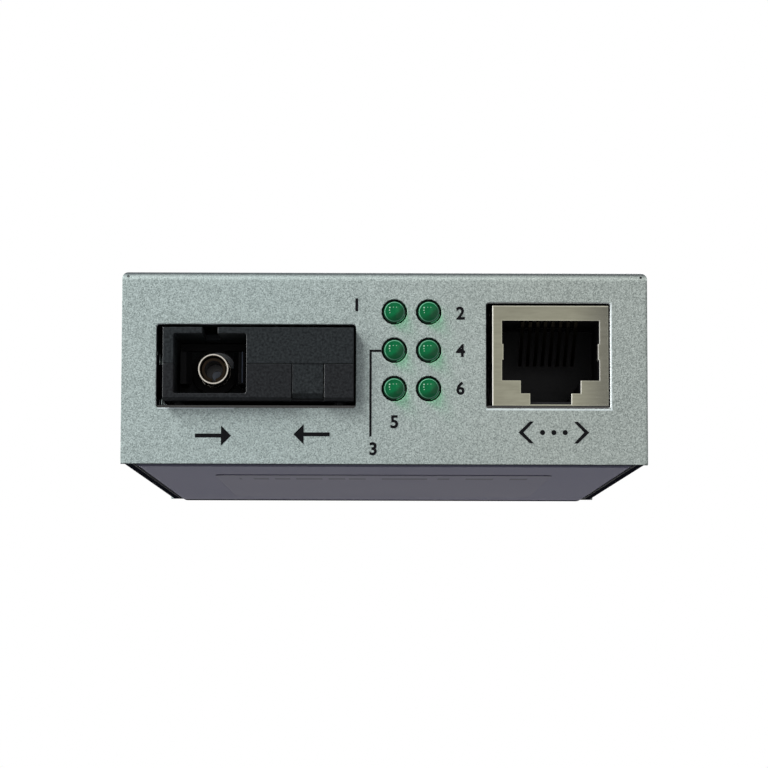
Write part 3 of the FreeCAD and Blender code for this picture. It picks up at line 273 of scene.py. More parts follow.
finishes = {
    "zincScrew": {
        "parts": ["case_screws", "board_screws"], "dark": (0.38, 0.38, 0.36), "light": (0.60, 0.60, 0.58),
        "grainScale": 1500.0, "rough": (0.22, 0.42), "bump": 0.15, "metallic": 1.0, "edge": 0.06 * mm},
    "turnedBrass": {
        "parts": ["board_standoffs"], "dark": (0.55, 0.40, 0.16), "light": (0.74, 0.57, 0.27),
        "grainScale": 900.0, "stretch": (1.0, 1.0, 8.0), "rough": (0.2, 0.38), "bump": 0.12,
        "metallic": 1.0},
    "shellPlastic": {
        "parts": ["transceiver_upper_shell"],
        "dark": (0.001, 0.002, 0.003), "light": (0.032, 0.037, 0.039),
        "grainScale": 3000.0, "cloudShare": 0.1, "rough": (0.42, 0.6),
        "bump": 0.35, "bumpDepth": 0.02 * mm, "edge": 0.16 * mm, "specular": 0.1, "edgeShine": 0.9},
    "lowerPlastic": {
        "parts": ["transceiver_lower_shell"],
        "dark": (0.001, 0.001, 0.002), "light": (0.025, 0.027, 0.029),
        "grainScale": 3000.0, "cloudShare": 0.1, "rough": (0.42, 0.6),
        "bump": 0.35, "bumpDepth": 0.02 * mm, "edge": 0.16 * mm, "specular": 0.1, "edgeShine": 0.9},
    # painted shade: the sleeve's bronze is darkened far below its own colour, deep in the port
    "springBronze": {
        "parts": ["split_sleeve"], "dark": (0.014, 0.011, 0.008), "light": (0.030, 0.021, 0.014),
        "grainScale": 2000.0, "rough": (0.3, 0.45), "bump": 0.1, "metallic": 1.0},
    "goldPlate": {
        "parts": ["optical_block", "laser_can", "detector_can"],
        "dark": (0.66, 0.47, 0.17), "light": (0.86, 0.67, 0.32),
        "grainScale": 1800.0, "rough": (0.16, 0.32), "bump": 0.1, "metallic": 1.0},
    # painted shade: the contacts are darkened nearly to black, deep in the socket
    "contactWire": {
        "parts": ["jack_contacts"], "dark": (0.010, 0.009, 0.007), "light": (0.020, 0.017, 0.012),
        "grainScale": 1800.0, "rough": (0.4, 0.55), "bump": 0.1, "metallic": 1.0},
    "jackPlastic": {
        "parts": ["jack_housing", "contact_carrier", "led_holder", "inlet_housing"],
        "dark": (0.005, 0.005, 0.0055), "light": (0.013, 0.013, 0.0145),
        "grainScale": 2600.0, "rough": (0.38, 0.55), "bump": 0.25, "edge": 0.1 * mm, "specular": 0.12},
    "tinnedLeads": {
        "parts": ["led_leads", "transceiver_pins", "transceiver_posts", "inlet_pin", "inlet_spring",
                  "chip_legs", "transformer_legs", "regulator_leads"],
        "dark": (0.50, 0.50, 0.50), "light": (0.74, 0.74, 0.73),
        "grainScale": 2500.0, "rough": (0.18, 0.4), "bump": 0.15, "metallic": 1.0, "edge": 0.05 * mm},
    "mouldedResin": {
        "parts": ["driver_chip", "converter_chip", "line_transformer", "voltage_regulator"],
        "dark": (0.016, 0.016, 0.018), "light": (0.042, 0.042, 0.045),
        "grainScale": 3200.0, "rough": (0.5, 0.68), "bump": 0.3, "specular": 0.25},
    "drawnCan": {
        "parts": ["crystal_can", "supply_capacitor_1", "supply_capacitor_2"],
        "dark": (0.52, 0.52, 0.53), "light": (0.72, 0.72, 0.73),
        "grainScale": 1400.0, "stretch": (1.0, 1.0, 0.1), "rough": (0.22, 0.36), "bump": 0.1,
        "metallic": 1.0},
    "ferriteCore": {
        "parts": ["supply_coil_core"], "dark": (0.03, 0.03, 0.033), "light": (0.075, 0.075, 0.08),
        "grainScale": 2400.0, "rough": (0.45, 0.65), "bump": 0.35, "specular": 0.6},
    "ceramicBody": {
        "parts": ["chip_components"], "dark": (0.22, 0.16, 0.11), "light": (0.38, 0.30, 0.22),
        "grainScale": 2600.0, "rough": (0.3, 0.5), "bump": 0.15},
}
for finishName, values in finishes.items():
    material = grainFinish(finishName, values)[0]
    paint(values["parts"], material)
print("scene: finishes on the packed parts")


def coatedSteel():
    # powder coat with painted light and shade: painted shade darkens the front fold towards the top, the
    # face to the right, its right end, the flat top, the inside and the edges underneath; painted
    # highlights line the cut-outs' rims, and their bare sheared edges are light enough to be painted
    # highlights too
    paintWork = {
        "dark": (0.135, 0.166, 0.157), "light": (0.600, 0.690, 0.658), "grainScale": 6500.0,
        "cloudShare": 0.12, "rough": (0.42, 0.62), "bump": 0.5, "bumpDepth": 0.035 * mm,
        "edge": 0.15 * mm, "specular": 0.25}
    fold = {"start": 0.85 * mm, "end": 0.27 * mm, "depth": 1.3 * mm, "shade": (0.07, 0.08, 0.09)}
    warm = {"from": -15 * mm, "to": 22 * mm, "shade": (0.995, 0.94, 0.905)}         # painted shade from left to right: warmer and a little darker away from the lamps at the left
    side = {"from": 34.65 * mm, "to": 34.9 * mm, "shade": (0.60, 0.61, 0.61)}       # the face's right end, in painted shade
    # painted shade: the flat top is darkened a little, against the strong light from above
    top = {"depth": 0.05 * mm, "shade": (0.70, 0.70, 0.71)}
    sheet = 1.0 * mm
    shear = {
        "colour": (0.86, 0.88, 0.87), "from": 5 * mm, "belowTop": 3 * mm,
        "indicators": (-2.9 * mm, 10.1 * mm)}       # their holes stay painted
    # painted shade: the inside and the edges underneath are darkened where little light reaches
    inside = {"colour": (0.016, 0.018, 0.018), "wall": 33.6 * mm, "behind": 0.97 * sheet}
    foot = {"colour": (0.020, 0.020, 0.026), "specular": 0.0}
    cutRimHighlights = [        # x from and to, z from and to in mm, and the colour of the painted highlight along the cut-out's rim there
        (13.5, 30.3, 7.60, 7.85, (0.64, 0.70, 0.68)),
        (30.1, 30.27, 7.70, 22.05, (0.80, 0.86, 0.84)),
        (-30.2, -20.0, 7.70, 7.85, (0.56, 0.62, 0.62))]
    material, tree, shader = grainFinish("coatedSteel", paintWork)
    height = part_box("top_cover")[1].z
    x, y, z = objectPlace(tree)
    normalY, normalZ = parted(tree, trueNormal(tree))[1:]

    # painted shade on the front fold, darkest at the top
    foldShade = multiply(
        tree, mapRange(tree, z, height - fold["start"], height - fold["end"]),
        within(tree, y, frontY - mm, frontY + fold["depth"]))
    blend(tree, shader, foldShade, fold["shade"], "MULTIPLY")
    onFace = within(tree, y, frontY - mm, frontY + skin)
    blend(tree, shader, mapRange(tree, x, warm["from"], warm["to"]), warm["shade"], "MULTIPLY")
    rightEndShade = multiply(tree, onFace, mapRange(tree, x, side["from"], side["to"]))
    blend(tree, shader, rightEndShade, side["shade"], "MULTIPLY")
    for left, right, low, high, colour in cutRimHighlights:
        rimHighlight = multiply(
            tree, onFace, within(tree, x, left * mm, right * mm), within(tree, z, low * mm, high * mm))
        blend(tree, shader, rimHighlight, colour)

    betweenWalls = within(tree, x, -inside["wall"], inside["wall"])
    # the cut-outs' sheared walls: bare metal, partly a painted highlight where the lamps catch them
    edges = multiply(
        tree, within(tree, normalY, -0.5, 0.5), without(tree, within(tree, x, *shear["indicators"])),
        within(tree, y, frontY + 2 * skin, frontY + sheet),
        within(tree, z, shear["from"], height - shear["belowTop"]), betweenWalls)
    blend(tree, shader, edges, shear["colour"])
    # painted shade: the inside, darkened nearly to black
    insideShade = multiply(
        tree, betweenWalls, within(tree, y, frontY + inside["behind"], -frontY - inside["behind"]),
        within(tree, z, 0.0, height - inside["behind"]), without(tree, edges))
    blend(tree, shader, insideShade, inside["colour"])
    # painted shade on the flat top
    topShade = multiply(
        tree, within(tree, normalZ, 0.9, 1.1), within(tree, z, height - top["depth"], height + mm))
    blend(tree, shader, topShade, top["shade"], "MULTIPLY")
    # painted shade on the edges underneath, also without gloss
    footShade = multiply(tree, within(tree, normalZ, -1.1, -0.7), within(tree, z, -mm, mm))
    blend(tree, shader, footShade, foot["colour"])
    glossBy(tree, shader, footShade, paintWork["specular"], foot["specular"])
    return material


def nickelShield():
    # drawn sheet, nickel plated; painted highlights brighten its rims and draw bright lines along the left
    # and the top, and painted shade makes it duller to the right
    values = {
        "dark": (0.165, 0.161, 0.122), "light": (0.250, 0.246, 0.190), "grainScale": 1600.0,
        "stretch": (0.25, 0.25, 1.6), "cloudShare": 0.45, "cloudScale": 220.0, "rough": (0.3, 0.46),
        "bump": 0.12, "metallic": 1.0, "edge": 0.28 * mm, "edgeHighlight": (0.33, 0.325, 0.26),
        "leftHighlight": (0.86, 0.85, 0.76)}
    # painted shade dims the right part; painted highlights make the lines along the left and the top
    fade = {"from": 5.0 * mm, "to": 0.9 * mm, "shade": (0.60, 0.60, 0.64)}
    shine = {
        "left": 0.29 * mm, "leftColour": (0.98, 0.97, 0.88),
        "top": 0.15 * mm, "topColour": (0.36, 0.355, 0.29)}
    material, tree, shader = grainFinish("shieldNickel", values)
    low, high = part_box("jack_shield")
    x, y, z = objectPlace(tree)
    rightShade = mapRange(tree, x, high.x - fade["from"], high.x - fade["to"])
    blend(tree, shader, rightShade, fade["shade"], "MULTIPLY")
    front = within(tree, y, low.y - mm, low.y + 2 * skin)
    along = multiply(tree, front, within(tree, z, high.z - shine["top"], high.z))
    blend(tree, shader, along, shine["topColour"])
    beside = multiply(tree, front, within(tree, x, low.x, low.x + shine["left"]))
    blend(tree, shader, beside, shine["leftColour"])
    return material


def latchFinish():
    # black moulding; painted highlights: a bright line on the right arm, and a crescent of painted
    # reflection on the wall above the sleeve
    values = {
        "dark": (0.006, 0.006, 0.0065), "light": (0.014, 0.014, 0.015), "grainScale": 2600.0,
        "rough": (0.35, 0.5), "bump": 0.2, "specular": 0.05, "edgeShine": 1.0}
    armGlint = {"x": (3.94 * mm, 4.08 * mm), "z": (-2.0 * mm, 2.6 * mm), "colour": (0.26, 0.31, 0.38)}
    crescent = {
        "inner": 2.25 * mm, "outer": 2.4 * mm, "right": 0.42 * mm, "up": 0.28 * mm, "from": 0.55 * mm,
        "colour": (0.92, 0.94, 0.95)}
    material, tree, shader = grainFinish("insertPlastic", values)
    low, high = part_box("sleeve_holder")
    centreX, centreZ = (low.x + high.x) / 2, (low.z + high.z) / 2
    x, _, z = objectPlace(tree)
    # painted highlight on the right arm
    line = multiply(
        tree, within(tree, x, centreX + armGlint["x"][0], centreX + armGlint["x"][1]),
        within(tree, z, centreZ + armGlint["z"][0], centreZ + armGlint["z"][1]))
    blend(tree, shader, line, armGlint["colour"])
    near = axisDistance(tree, x, z, centreX, centreZ)
    beside = axisDistance(tree, x, z, centreX + crescent["right"], centreZ + crescent["up"])
    # painted reflection: the crescent above the sleeve
    lit = multiply(
        tree, without(tree, within(tree, near, 0.0, crescent["inner"])),
        within(tree, beside, 0.0, crescent["outer"]),
        within(tree, z, centreZ + crescent["from"], high.z + mm))
    blend(tree, shader, lit, crescent["colour"])
    return material


def trayFinish():
    # powder coat, darker and bluer than the cover's: partly the paint's own tone, partly painted shade for
    # the underside; painted shade darkens the rear fold
    values = {
        "dark": (0.180, 0.172, 0.225), "light": (0.255, 0.246, 0.312), "grainScale": 3400.0,
        "cloudShare": 0.3, "cloudScale": 25.0, "rough": (0.5, 0.7), "bump": 0.3,
        "bumpDepth": 0.03 * mm, "edge": 0.15 * mm, "specular": 0.03}
    rear = {"depth": 3.4 * mm, "height": 0.3 * mm, "shade": (0.10, 0.10, 0.11), "specular": 0.0}
    material, tree, shader = grainFinish("trayPaint", values)
    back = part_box("base_tray")[1].y
    y, z = objectPlace(tree)[1:]
    # painted shade on the rear fold
    fold = multiply(
        tree, within(tree, y, back - rear["depth"], back + mm), within(tree, z, -mm, rear["height"]))
    blend(tree, shader, fold, rear["shade"], "MULTIPLY")
    glossBy(tree, shader, fold, values["specular"], rear["specular"])
    return material


def spotFinish(name, part, values, spot):
    # a round spot of another colour on a turned piece, looking along its axis
    material, tree, shader = grainFinish(name, values)
    low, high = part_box(part)
    centreX, centreZ = (low.x + high.x) / 2 + spot["right"], (low.z + high.z) / 2 - spot["down"]
    x, _, z = objectPlace(tree)
    away = axisDistance(tree, x, z, centreX, centreZ)
    blend(tree, shader, within(tree, away, 0.0, spot["radius"]), spot["colour"])
    return material


def platedSleeve():
    # turned and plated rim; the bore inside it is painted dark, as painted shade deep in the recess
    values = {
        "dark": (0.46, 0.43, 0.38), "light": (0.70, 0.665, 0.60), "grainScale": 2200.0,
        "stretch": (1.0, 0.15, 1.0), "rough": (0.14, 0.28), "bump": 0.08, "metallic": 1.0,
        "edge": 0.05 * mm}
    bore = {"right": 0.0, "down": 0.0, "radius": 1.88 * mm, "colour": (0.030, 0.026, 0.019)}
    return spotFinish("platedSleeve", "sleeve_holder", values, bore)


def groundStub():
    # the fibre stub's face: a dark ground end, darkened as painted shade deep in the port, with a small
    # painted reflection off centre
    values = {
        "dark": (0.010, 0.010, 0.012), "light": (0.018, 0.018, 0.020), "grainScale": 3000.0,
        "rough": (0.15, 0.3), "bump": 0.05, "specular": 0.3}
    paintedReflection = {"right": 0.22 * mm, "down": 0.42 * mm, "radius": 0.66 * mm, "colour": (0.42, 0.49, 0.62)}
    return spotFinish("groundStub", "fibre_stub", values, paintedReflection)


def windingFinish():
    # enamelled wire: raised bands round the coil
    values = {
        "dark": (0.36, 0.12, 0.04), "light": (0.66, 0.28, 0.11), "grainScale": 1800.0,
        "rough": (0.25, 0.4), "metallic": 1.0, "bump": 0.1}
    wire = {"scale": 640.0, "bump": 0.8, "bumpDepth": 0.1 * mm}
    material, tree, shader = grainFinish("enamelledWire", values)
    bands = addNode(tree, "ShaderNodeTexWave", {
        "Vector": objectVector(tree), "Scale": wire["scale"], "Distortion": 0.0, "Detail": 0.0},
        wave_type="BANDS", bands_direction="Z")
    bump = addBump(tree, bands.outputs["Fac"], wire["bump"], wire["bumpDepth"])
    link(tree, bump.outputs[0], shader.inputs["Normal"])
    return material


def boardFinish():
    # solder mask over copper: a net of thin raised tracks, lighter where copper lies under the mask
    values = {
        "dark": (0.004, 0.055, 0.020), "light": (0.008, 0.085, 0.032), "grainScale": 1500.0,
        "rough": (0.22, 0.34), "bump": 0.1, "coat": 0.4, "coatRough": 0.15}
    track = {
        "scale": 420.0, "scatter": 0.65, "from": 0.62, "colour": (0.012, 0.14, 0.045),
        "bump": 0.6, "bumpDepth": 0.03 * mm}
    front = {"depth": 2.5 * mm, "colour": (0.006, 0.006, 0.004)}      # painted shade: a dark strip on the board behind the front panel
    material, tree, shader = grainFinish("solderMask", values)
    cells = addNode(tree, "ShaderNodeTexVoronoi", {
        "Vector": objectVector(tree), "Scale": track["scale"], "Randomness": track["scatter"]},
        feature="F1", distance="MANHATTAN")
    tracks = compute(tree, "GREATER_THAN", cells.outputs["Distance"], track["from"])
    blend(tree, shader, tracks, track["colour"])
    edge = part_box("circuit_board")[0].y
    panelShade = within(tree, objectPlace(tree)[1], edge - mm, edge + front["depth"])
    blend(tree, shader, panelShade, front["colour"])
    bump = addBump(tree, tracks, track["bump"], track["bumpDepth"])
    link(tree, bump.outputs[0], shader.inputs["Normal"])
    return material


def labelFinish():
    # plain film with a dark line along its front edge and a row of plain short dashes behind the line
    values = {
        "dark": (0.175, 0.166, 0.212), "light": (0.215, 0.204, 0.256), "grainScale": 900.0,
        "cloudShare": 0.6, "rough": (0.5, 0.62), "bump": 0.1, "specular": 0.026}
    label = {
        "line": 1.6 * mm, "dashFrom": 6.6 * mm, "dashTo": 10.6 * mm, "dashShare": 0.8, "dashCut": 0.44,
        "dashScale": 330.0, "sideMargin": 3.0 * mm, "print": (0.085, 0.083, 0.105)}
    material, tree, shader = grainFinish("labelFilm", values)
    low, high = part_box("base_label")
    x, y = objectPlace(tree)[:2]
    line = within(tree, y, low.y, low.y + label["line"])
    row = within(tree, y, low.y + label["dashFrom"], low.y + label["dashTo"])
    span = within(tree, x, low.x + label["sideMargin"], high.x - label["sideMargin"])
    pieces = addNode(tree, "ShaderNodeTexNoise", {"W": x, "Scale": label["dashScale"], "Detail": 0.0},
                     noise_dimensions="1D")
    chopped = compute(tree, "GREATER_THAN", pieces.outputs["Fac"], label["dashCut"])
    dashes = multiply(tree, row, chopped, span, label["dashShare"])
    blend(tree, shader, compute(tree, "MAXIMUM", dashes, line), label["print"])
    return material


paint(["top_cover"], coatedSteel())
paint(["base_tray"], trayFinish())
paint(["jack_shield"], nickelShield())
paint(["latch_insert"], latchFinish())
paint(["sleeve_holder"], platedSleeve())
paint(["fibre_stub"], groundStub())
paint(["supply_coil_winding"], windingFinish())
paint(["circuit_board", "transceiver_board"], boardFinish())
paint(["base_label"], labelFinish())
print("scene: cover, tray, shield, insert, sleeve, stub, winding, boards and label")


def gridMesh(name, points, attributes):
    # points is an array of rows x columns x 3; neighbouring rows and columns are joined by quads,
    # and the last column joins the first
    rows, columns = points.shape[:2]
    left = np.arange(rows * columns).reshape(rows, columns)
    right = np.roll(left, -1, axis=1)
    quads = np.stack([left[:-1], right[:-1], right[1:], left[1:]], axis=-1).reshape(-1, 4)
    mesh = bpy.data.meshes.new(name)
    mesh.from_pydata(points.reshape(-1, 3).tolist(), [], quads.tolist())
    for label, data in attributes.items():
        layer = mesh.attributes.new(label, "FLOAT", "POINT")
        layer.data.foreach_set("value", data.astype(np.float32).ravel())
    mesh.update()
    return mesh


def place(name, mesh, material, smooth=True):
    piece = bpy.data.objects.new(name, mesh)
    bpy.context.scene.collection.objects.link(piece)
    mesh.materials.append(material)
    if smooth:
        mesh.polygons.foreach_set("use_smooth", [True] * len(mesh.polygons))
    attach(piece, "root")
    return piece


indicator = {
    "count": 6,
    "radius": 1.5 * mm,      # of the dome and the body
    "flange": 1.0 * mm,      # along the axis
    "step": 0.02 * mm,       # a close ring in front of the flange keeps its edge crisp
    "tipTurn": 0.012,        # where the dome's profile starts, in radians
    "backShare": 0.02,       # radius of the ring that closes the back
    "sides": 64,
    "domeRows": 22,
    "faceRing": 0.85,        # light ring, as a share of the radius
    "ringWidth": 0.06,
    "flatten": 0.8,          # how far the face is lit as if it were flat
    "shadeFrom": 0.88,       # the rim darkens over these shares
    "shadeTo": 0.96,
    "core": (0.0, 0.25, 0.075),
    "coreDeep": (0.0, 0.055, 0.018),
    "cloudScale": 900.0,
    "cloudShare": 0.35,
    "leanSpan": 1.2,         # the core changes from deep to bright over this lean to either side
    "ring": (0.20, 0.52, 0.34),
    "rim": (0.0, 0.030, 0.012),
    "crescent": (0.20, 0.60, 0.36),
    "crescentShare": (0.93, 1.0),
    "crescentLean": (1.15, 2.0),      # across less rise, so from the lower right on
    "glow": (0.58, 0.98, 0.72),       # light that passes the resin
    "glint": (0.55, 0.80, 0.62),
    "glintShare": 0.8,
    "glintCore": 0.4,        # full brightness within this share of a glint's size
    "glints": [                      # across, rise and size, as shares of the radius
        (-0.42, 0.34, 0.085), (-0.44, 0.10, 0.07), (-0.40, -0.12, 0.055), (-0.10, 0.36, 0.05),
        (0.18, 0.36, 0.05)],
    "rough": (0.07, 0.13),
    "bump": 0.04,
    "bumpDepth": 0.02 * mm,
    "specular": 0.10,
}


def lensFinish():
    # tinted resin: the colour follows the place on the face, stored on each point as shares of the radius
    material, tree, shader = newMaterial("indicatorResin")
    share, across, rise = [
        addNode(tree, "ShaderNodeAttribute", attribute_type="GEOMETRY", attribute_name=label).outputs["Fac"]
        for label in ("share", "across", "rise")]
    clouds = addNode(tree, "ShaderNodeTexNoise", {
        "Vector": objectVector(tree), "Scale": indicator["cloudScale"], "Detail": 2.0}).outputs["Fac"]

    # brightest at the lower right, where the light that enters comes out again
    lean = compute(tree, "SUBTRACT", across, rise)
    lit = mapRange(tree, lean, -indicator["leanSpan"], indicator["leanSpan"])
    mottled = mixed(tree, "FLOAT", indicator["cloudShare"], lit, clouds)
    core = mixed(tree, "RGBA", mottled, rgba(*indicator["coreDeep"]), rgba(*indicator["core"]))
    link(tree, core, shader.inputs["Base Color"])
    halfRing = indicator["ringWidth"] / 2
    onRing = within(tree, share, indicator["faceRing"] - halfRing, indicator["faceRing"] + halfRing)
    blend(tree, shader, onRing, indicator["ring"])
    onRim = mapRange(tree, share, indicator["shadeFrom"], indicator["shadeTo"])
    blend(tree, shader, onRim, indicator["rim"])
    # light that leaves again at the lower right of the rim
    leaving = multiply(
        tree, within(tree, share, *indicator["crescentShare"]),
        within(tree, lean, *indicator["crescentLean"]))
    blend(tree, shader, leaving, indicator["crescent"])
    # painted highlights: small bright points of light on the face
    for glintAcross, glintRise, size in indicator["glints"]:
        gap = axisDistance(tree, across, rise, glintAcross, glintRise)
        point = mapRange(tree, gap, size, size * indicator["glintCore"], 0.0, indicator["glintShare"])
        blend(tree, shader, point, indicator["glint"])

    link(tree, mapRange(tree, clouds, *noiseSpan, *indicator["rough"]), shader.inputs["Roughness"])
    bump = addBump(tree, clouds, indicator["bump"], indicator["bumpDepth"])
    flat = mixed(tree, "VECTOR", indicator["flatten"], bump.outputs[0], (0.0, -1.0, 0.0))
    link(tree, flat, shader.inputs["Normal"])
    shader.inputs["Specular IOR Level"].default_value = indicator["specular"]

    # shadow rays pass the resin with its tint
    shadowRay = addNode(tree, "ShaderNodeLightPath").outputs["Is Shadow Ray"]
    passed = addNode(tree, "ShaderNodeBsdfTransparent", {"Color": rgba(*indicator["glow"])})
    mixShaders(tree, shadowRay, shader, passed, shader.outputs[0].links[0].to_socket)
    return material


lensMaterial = lensFinish()


def lensPoints(low, high):
    # a profile carried round the axis: the dome is radius*sin(t), radius*(1-cos(t)) for t from the tip
    # to 90 degrees, then come the straight body, the flange's step out and the back
    centre = (low + high) / 2
    radius = indicator["radius"]
    flangeRadius = (high.x - low.x) / 2
    flangeStart = high.y - indicator["flange"]
    turn = np.linspace(indicator["tipTurn"], math.pi / 2, indicator["domeRows"])
    radii = np.concatenate([
        radius * np.sin(turn),
        [radius, radius, flangeRadius, flangeRadius, indicator["backShare"] * radius]])
    depths = np.concatenate([
        low.y + radius * (1 - np.cos(turn)),
        [flangeStart - indicator["step"], flangeStart, flangeStart, high.y, high.y]])
    around = np.linspace(0, 2 * math.pi, indicator["sides"], endpoint=False)
    across, rise = radii[:, None] * np.cos(around), radii[:, None] * np.sin(around)
    depth = np.repeat(depths[:, None], len(around), axis=1)
    points = np.stack([centre.x + across, depth, centre.z + rise], axis=-1)
    share = np.repeat(np.minimum(radii / radius, 1.0)[:, None], len(around), axis=1)
    return points, {"share": share, "across": across / radius, "rise": rise / radius}


def closeEnds(mesh):
    # fills the open rings at both ends and turns every face outwards
    work = bmesh.new()
    work.from_mesh(mesh)
    edges = [edge for edge in work.edges if edge.is_boundary]
    bmesh.ops.holes_fill(work, edges=edges, sides=0)
    bmesh.ops.recalc_face_normals(work, faces=work.faces)
    work.to_mesh(mesh)
    work.free()
    mesh.update()


for number in range(1, indicator["count"] + 1):
    cadName = "led_" + str(number)
    lensName = "indicator_lens_" + str(number)
    points, shares = lensPoints(*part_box(cadName))
    mesh = gridMesh(lensName, points, shares)
    closeEnds(mesh)
    lens = place(lensName, mesh, lensMaterial)
    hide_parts(cadName)
print("scene: indicator lenses")


marks = {
    "proud": 0.012 * mm,
    "sunk": 0.02 * mm,
    "digitHeight": 1.75 * mm,
    "weight": 0.030,                 # how far each figure's outline is widened, as a share of its em
    "digits": {                      # centre x and z of each number in mm, beside its indicator
        "1": (-3.73, 21.68), "2": (10.10, 20.60), "3": (-1.50, 2.45),
        "4": (10.10, 15.60), "5": (1.30, 6.05), "6": (10.10, 10.55)},
    # in mm from here on
    "arrow": {"length": 4.8, "height": 2.7, "shaft": 0.26},
    "fibreOut": (-22.75, 4.15), "fibreIn": (-9.67, 4.35),
    "leader": [
        (-2.01, 15.67), (-2.01, 4.08), (-1.71, 4.08), (-1.71, 15.37), (-0.42, 15.37), (-0.42, 15.67)],
    "copper": {"x": 22.5, "z": 4.68, "reach": 4.7, "dotGap": 1.5, "dotRadius": 0.34},
    "chevron": {"width": 1.5, "height": 2.9, "stroke": 0.55, "elbow": 1.2},
    "dotSides": 20,
}
markDepths = (frontY - marks["proud"], frontY + marks["sunk"])


def inkFinish():
    values = {
        "dark": (0.003, 0.003, 0.004), "light": (0.009, 0.009, 0.010), "grainScale": 5200.0,
        "rough": (0.4, 0.55), "bump": 0.2, "bumpDepth": 0.01 * mm, "edge": 0.01 * mm, "specular": 0.04}
    return grainFinish("printInk", values)[0]


ink = inkFinish()


def flatMark(name, outlines):
    # each outline is a list of (x, z) points in mm; the mark is a thin slab on the panel's face
    vertices, faces = [], []
    for outline in outlines:
        ring = np.array(outline, float) * mm
        area = np.sum(ring[:, 0] * np.roll(ring[:, 1], -1) - np.roll(ring[:, 0], -1) * ring[:, 1])
        if area < 0:
            ring = ring[::-1]
        count, start = len(ring), len(vertices)
        for depth in markDepths:
            vertices += [(x, depth, z) for x, z in ring.tolist()]
        faces.append([start + i for i in range(count)])
        faces.append([start + count + i for i in reversed(range(count))])
        for i in range(count):
            j = (i + 1) % count
            faces.append([start + j, start + i, start + count + i, start + count + j])
    mesh = bpy.data.meshes.new(name)
    mesh.from_pydata(vertices, [], faces)
    mesh.update()
    return place(name, mesh, ink, smooth=False)


def digitMark(text, x, z):
    # a figure from the built-in face, made a mesh, scaled to its height and centred on x, z
    name = "indicator_number_" + text
    curve = bpy.data.curves.new(name + "_outline", "FONT")
    curve.body = text
    curve.resolution_u = 6
    curve.offset = marks["weight"]
    curve.extrude = 0.02             # any depth: the two sides get their places below
    source = bpy.data.objects.new(name + "_outline", curve)
    bpy.context.scene.collection.objects.link(source)
    bpy.context.view_layer.update()
    mesh = bpy.data.meshes.new_from_object(source.evaluated_get(bpy.context.evaluated_depsgraph_get()))
    bpy.data.objects.remove(source)
    drawn = np.empty(len(mesh.vertices) * 3)
    mesh.vertices.foreach_get("co", drawn)
    drawn = drawn.reshape(-1, 3)
    low, high = drawn.min(0), drawn.max(0)
    size = marks["digitHeight"] / (high[1] - low[1])
    flat = (drawn - (low + high) / 2) * size
    outer = drawn[:, 2] > (low[2] + high[2]) / 2
    placed = np.stack([x * mm + flat[:, 0], np.where(outer, *markDepths), z * mm + flat[:, 1]], axis=-1)
    mesh.vertices.foreach_set("co", placed.ravel())
    mesh.name = name
    mesh.materials.clear()
    mesh.update()
    return place(name, mesh, ink, smooth=False)


for text, (x, z) in marks["digits"].items():
    digitMark(text, x, z)


def arrowOutline(x, z, direction):
    # a plain arrow along X: shaft and head as one outline
    form = marks["arrow"]
    half, head, shaft = form["length"] / 2, form["height"] / 2, form["shaft"]
    shape = [(-half, -shaft), (half - head, -shaft), (half - head, -head), (half, 0),
             (half - head, head), (half - head, shaft), (-half, shaft)]
    return [(x + direction * px, z + pz) for px, pz in shape]


flatMark("fibre_out_arrow", [arrowOutline(*marks["fibreOut"], 1)])
flatMark("fibre_in_arrow", [arrowOutline(*marks["fibreIn"], -1)])
flatMark("indicator_leader", [marks["leader"]])


def chevron(x, z, direction):
    # its point lies at x, z; the elbow, its inner corner, lies a little more than a stroke behind
    form = marks["chevron"]
    half, width, outer = form["height"] / 2, form["width"], form["width"] + form["stroke"]
    shape = [(0, 0), (width, half), (outer, half), (form["stroke"] * form["elbow"], 0),
             (outer, -half), (width, -half)]
    return [(x + direction * px, z + pz) for px, pz in shape]


def dot(x, z, radius):
    turn = np.linspace(0, 2 * math.pi, marks["dotSides"], endpoint=False)
    return np.stack([x + radius * np.cos(turn), z + radius * np.sin(turn)], axis=-1)


copper = marks["copper"]
flatMark(
    "copper_port_symbol",
    [chevron(copper["x"] - way * copper["reach"], copper["z"], way) for way in (1, -1)]
    + [dot(copper["x"] + step * copper["dotGap"], copper["z"], copper["dotRadius"]) for step in (-1, 0, 1)])
print("scene: printed marks")


studio = {
    "worldColour": (0.82, 0.87, 1.0),
    "worldStrength": 0.22,
    "floorColour": (0.86, 0.86, 0.86),
    "floorHalf": 1.6,
    "floorZ": -0.02 * mm,
    "floorFade": (0.22, 0.50),       # distances over which the floor clears to the white round it
    "aim": (0.0, frontY, 13 * mm),   # the front panel's middle, where all lamps point
}

lamps = {      # place and size in metres, power in watts, and colour
    "keyLamp": {
        "at": (-0.42, -0.247, 0.563), "size": (0.25, 0.25), "power": 8.6, "colour": (0.98, 1.0, 1.0)},
    "sideLamp": {
        "at": (-0.75, -0.247, 0.163), "size": (0.35, 0.35), "power": 3.2, "colour": (0.98, 1.0, 1.0)},
    "topLamp": {
        "at": (-0.12, -0.267, 0.62), "size": (0.25, 0.25), "power": 1.0, "colour": (0.98, 1.0, 1.0)},
    "fillLamp": {
        "at": (0.35, -0.90, 0.10), "size": (0.6, 0.4), "power": 0.8, "colour": (1.0, 0.985, 0.96)},
    "backLamp": {
        "at": (0.30, 0.80, 0.45), "size": (0.6, 0.4), "power": 4.0, "colour": (1.0, 1.0, 1.0)},
}


def addLamp(name, values):
    data = bpy.data.lights.new(name, "AREA")
    data.shape = "RECTANGLE"
    data.size, data.size_y = values["size"]
    data.energy = values["power"]
    data.color = values["colour"]
    lamp = bpy.data.objects.new(name, data)
    lamp.location = values["at"]
    aim = Vector(studio["aim"]) - Vector(values["at"])
    lamp.rotation_euler = aim.to_track_quat("-Z", "Y").to_euler()
    bpy.context.scene.collection.objects.link(lamp)


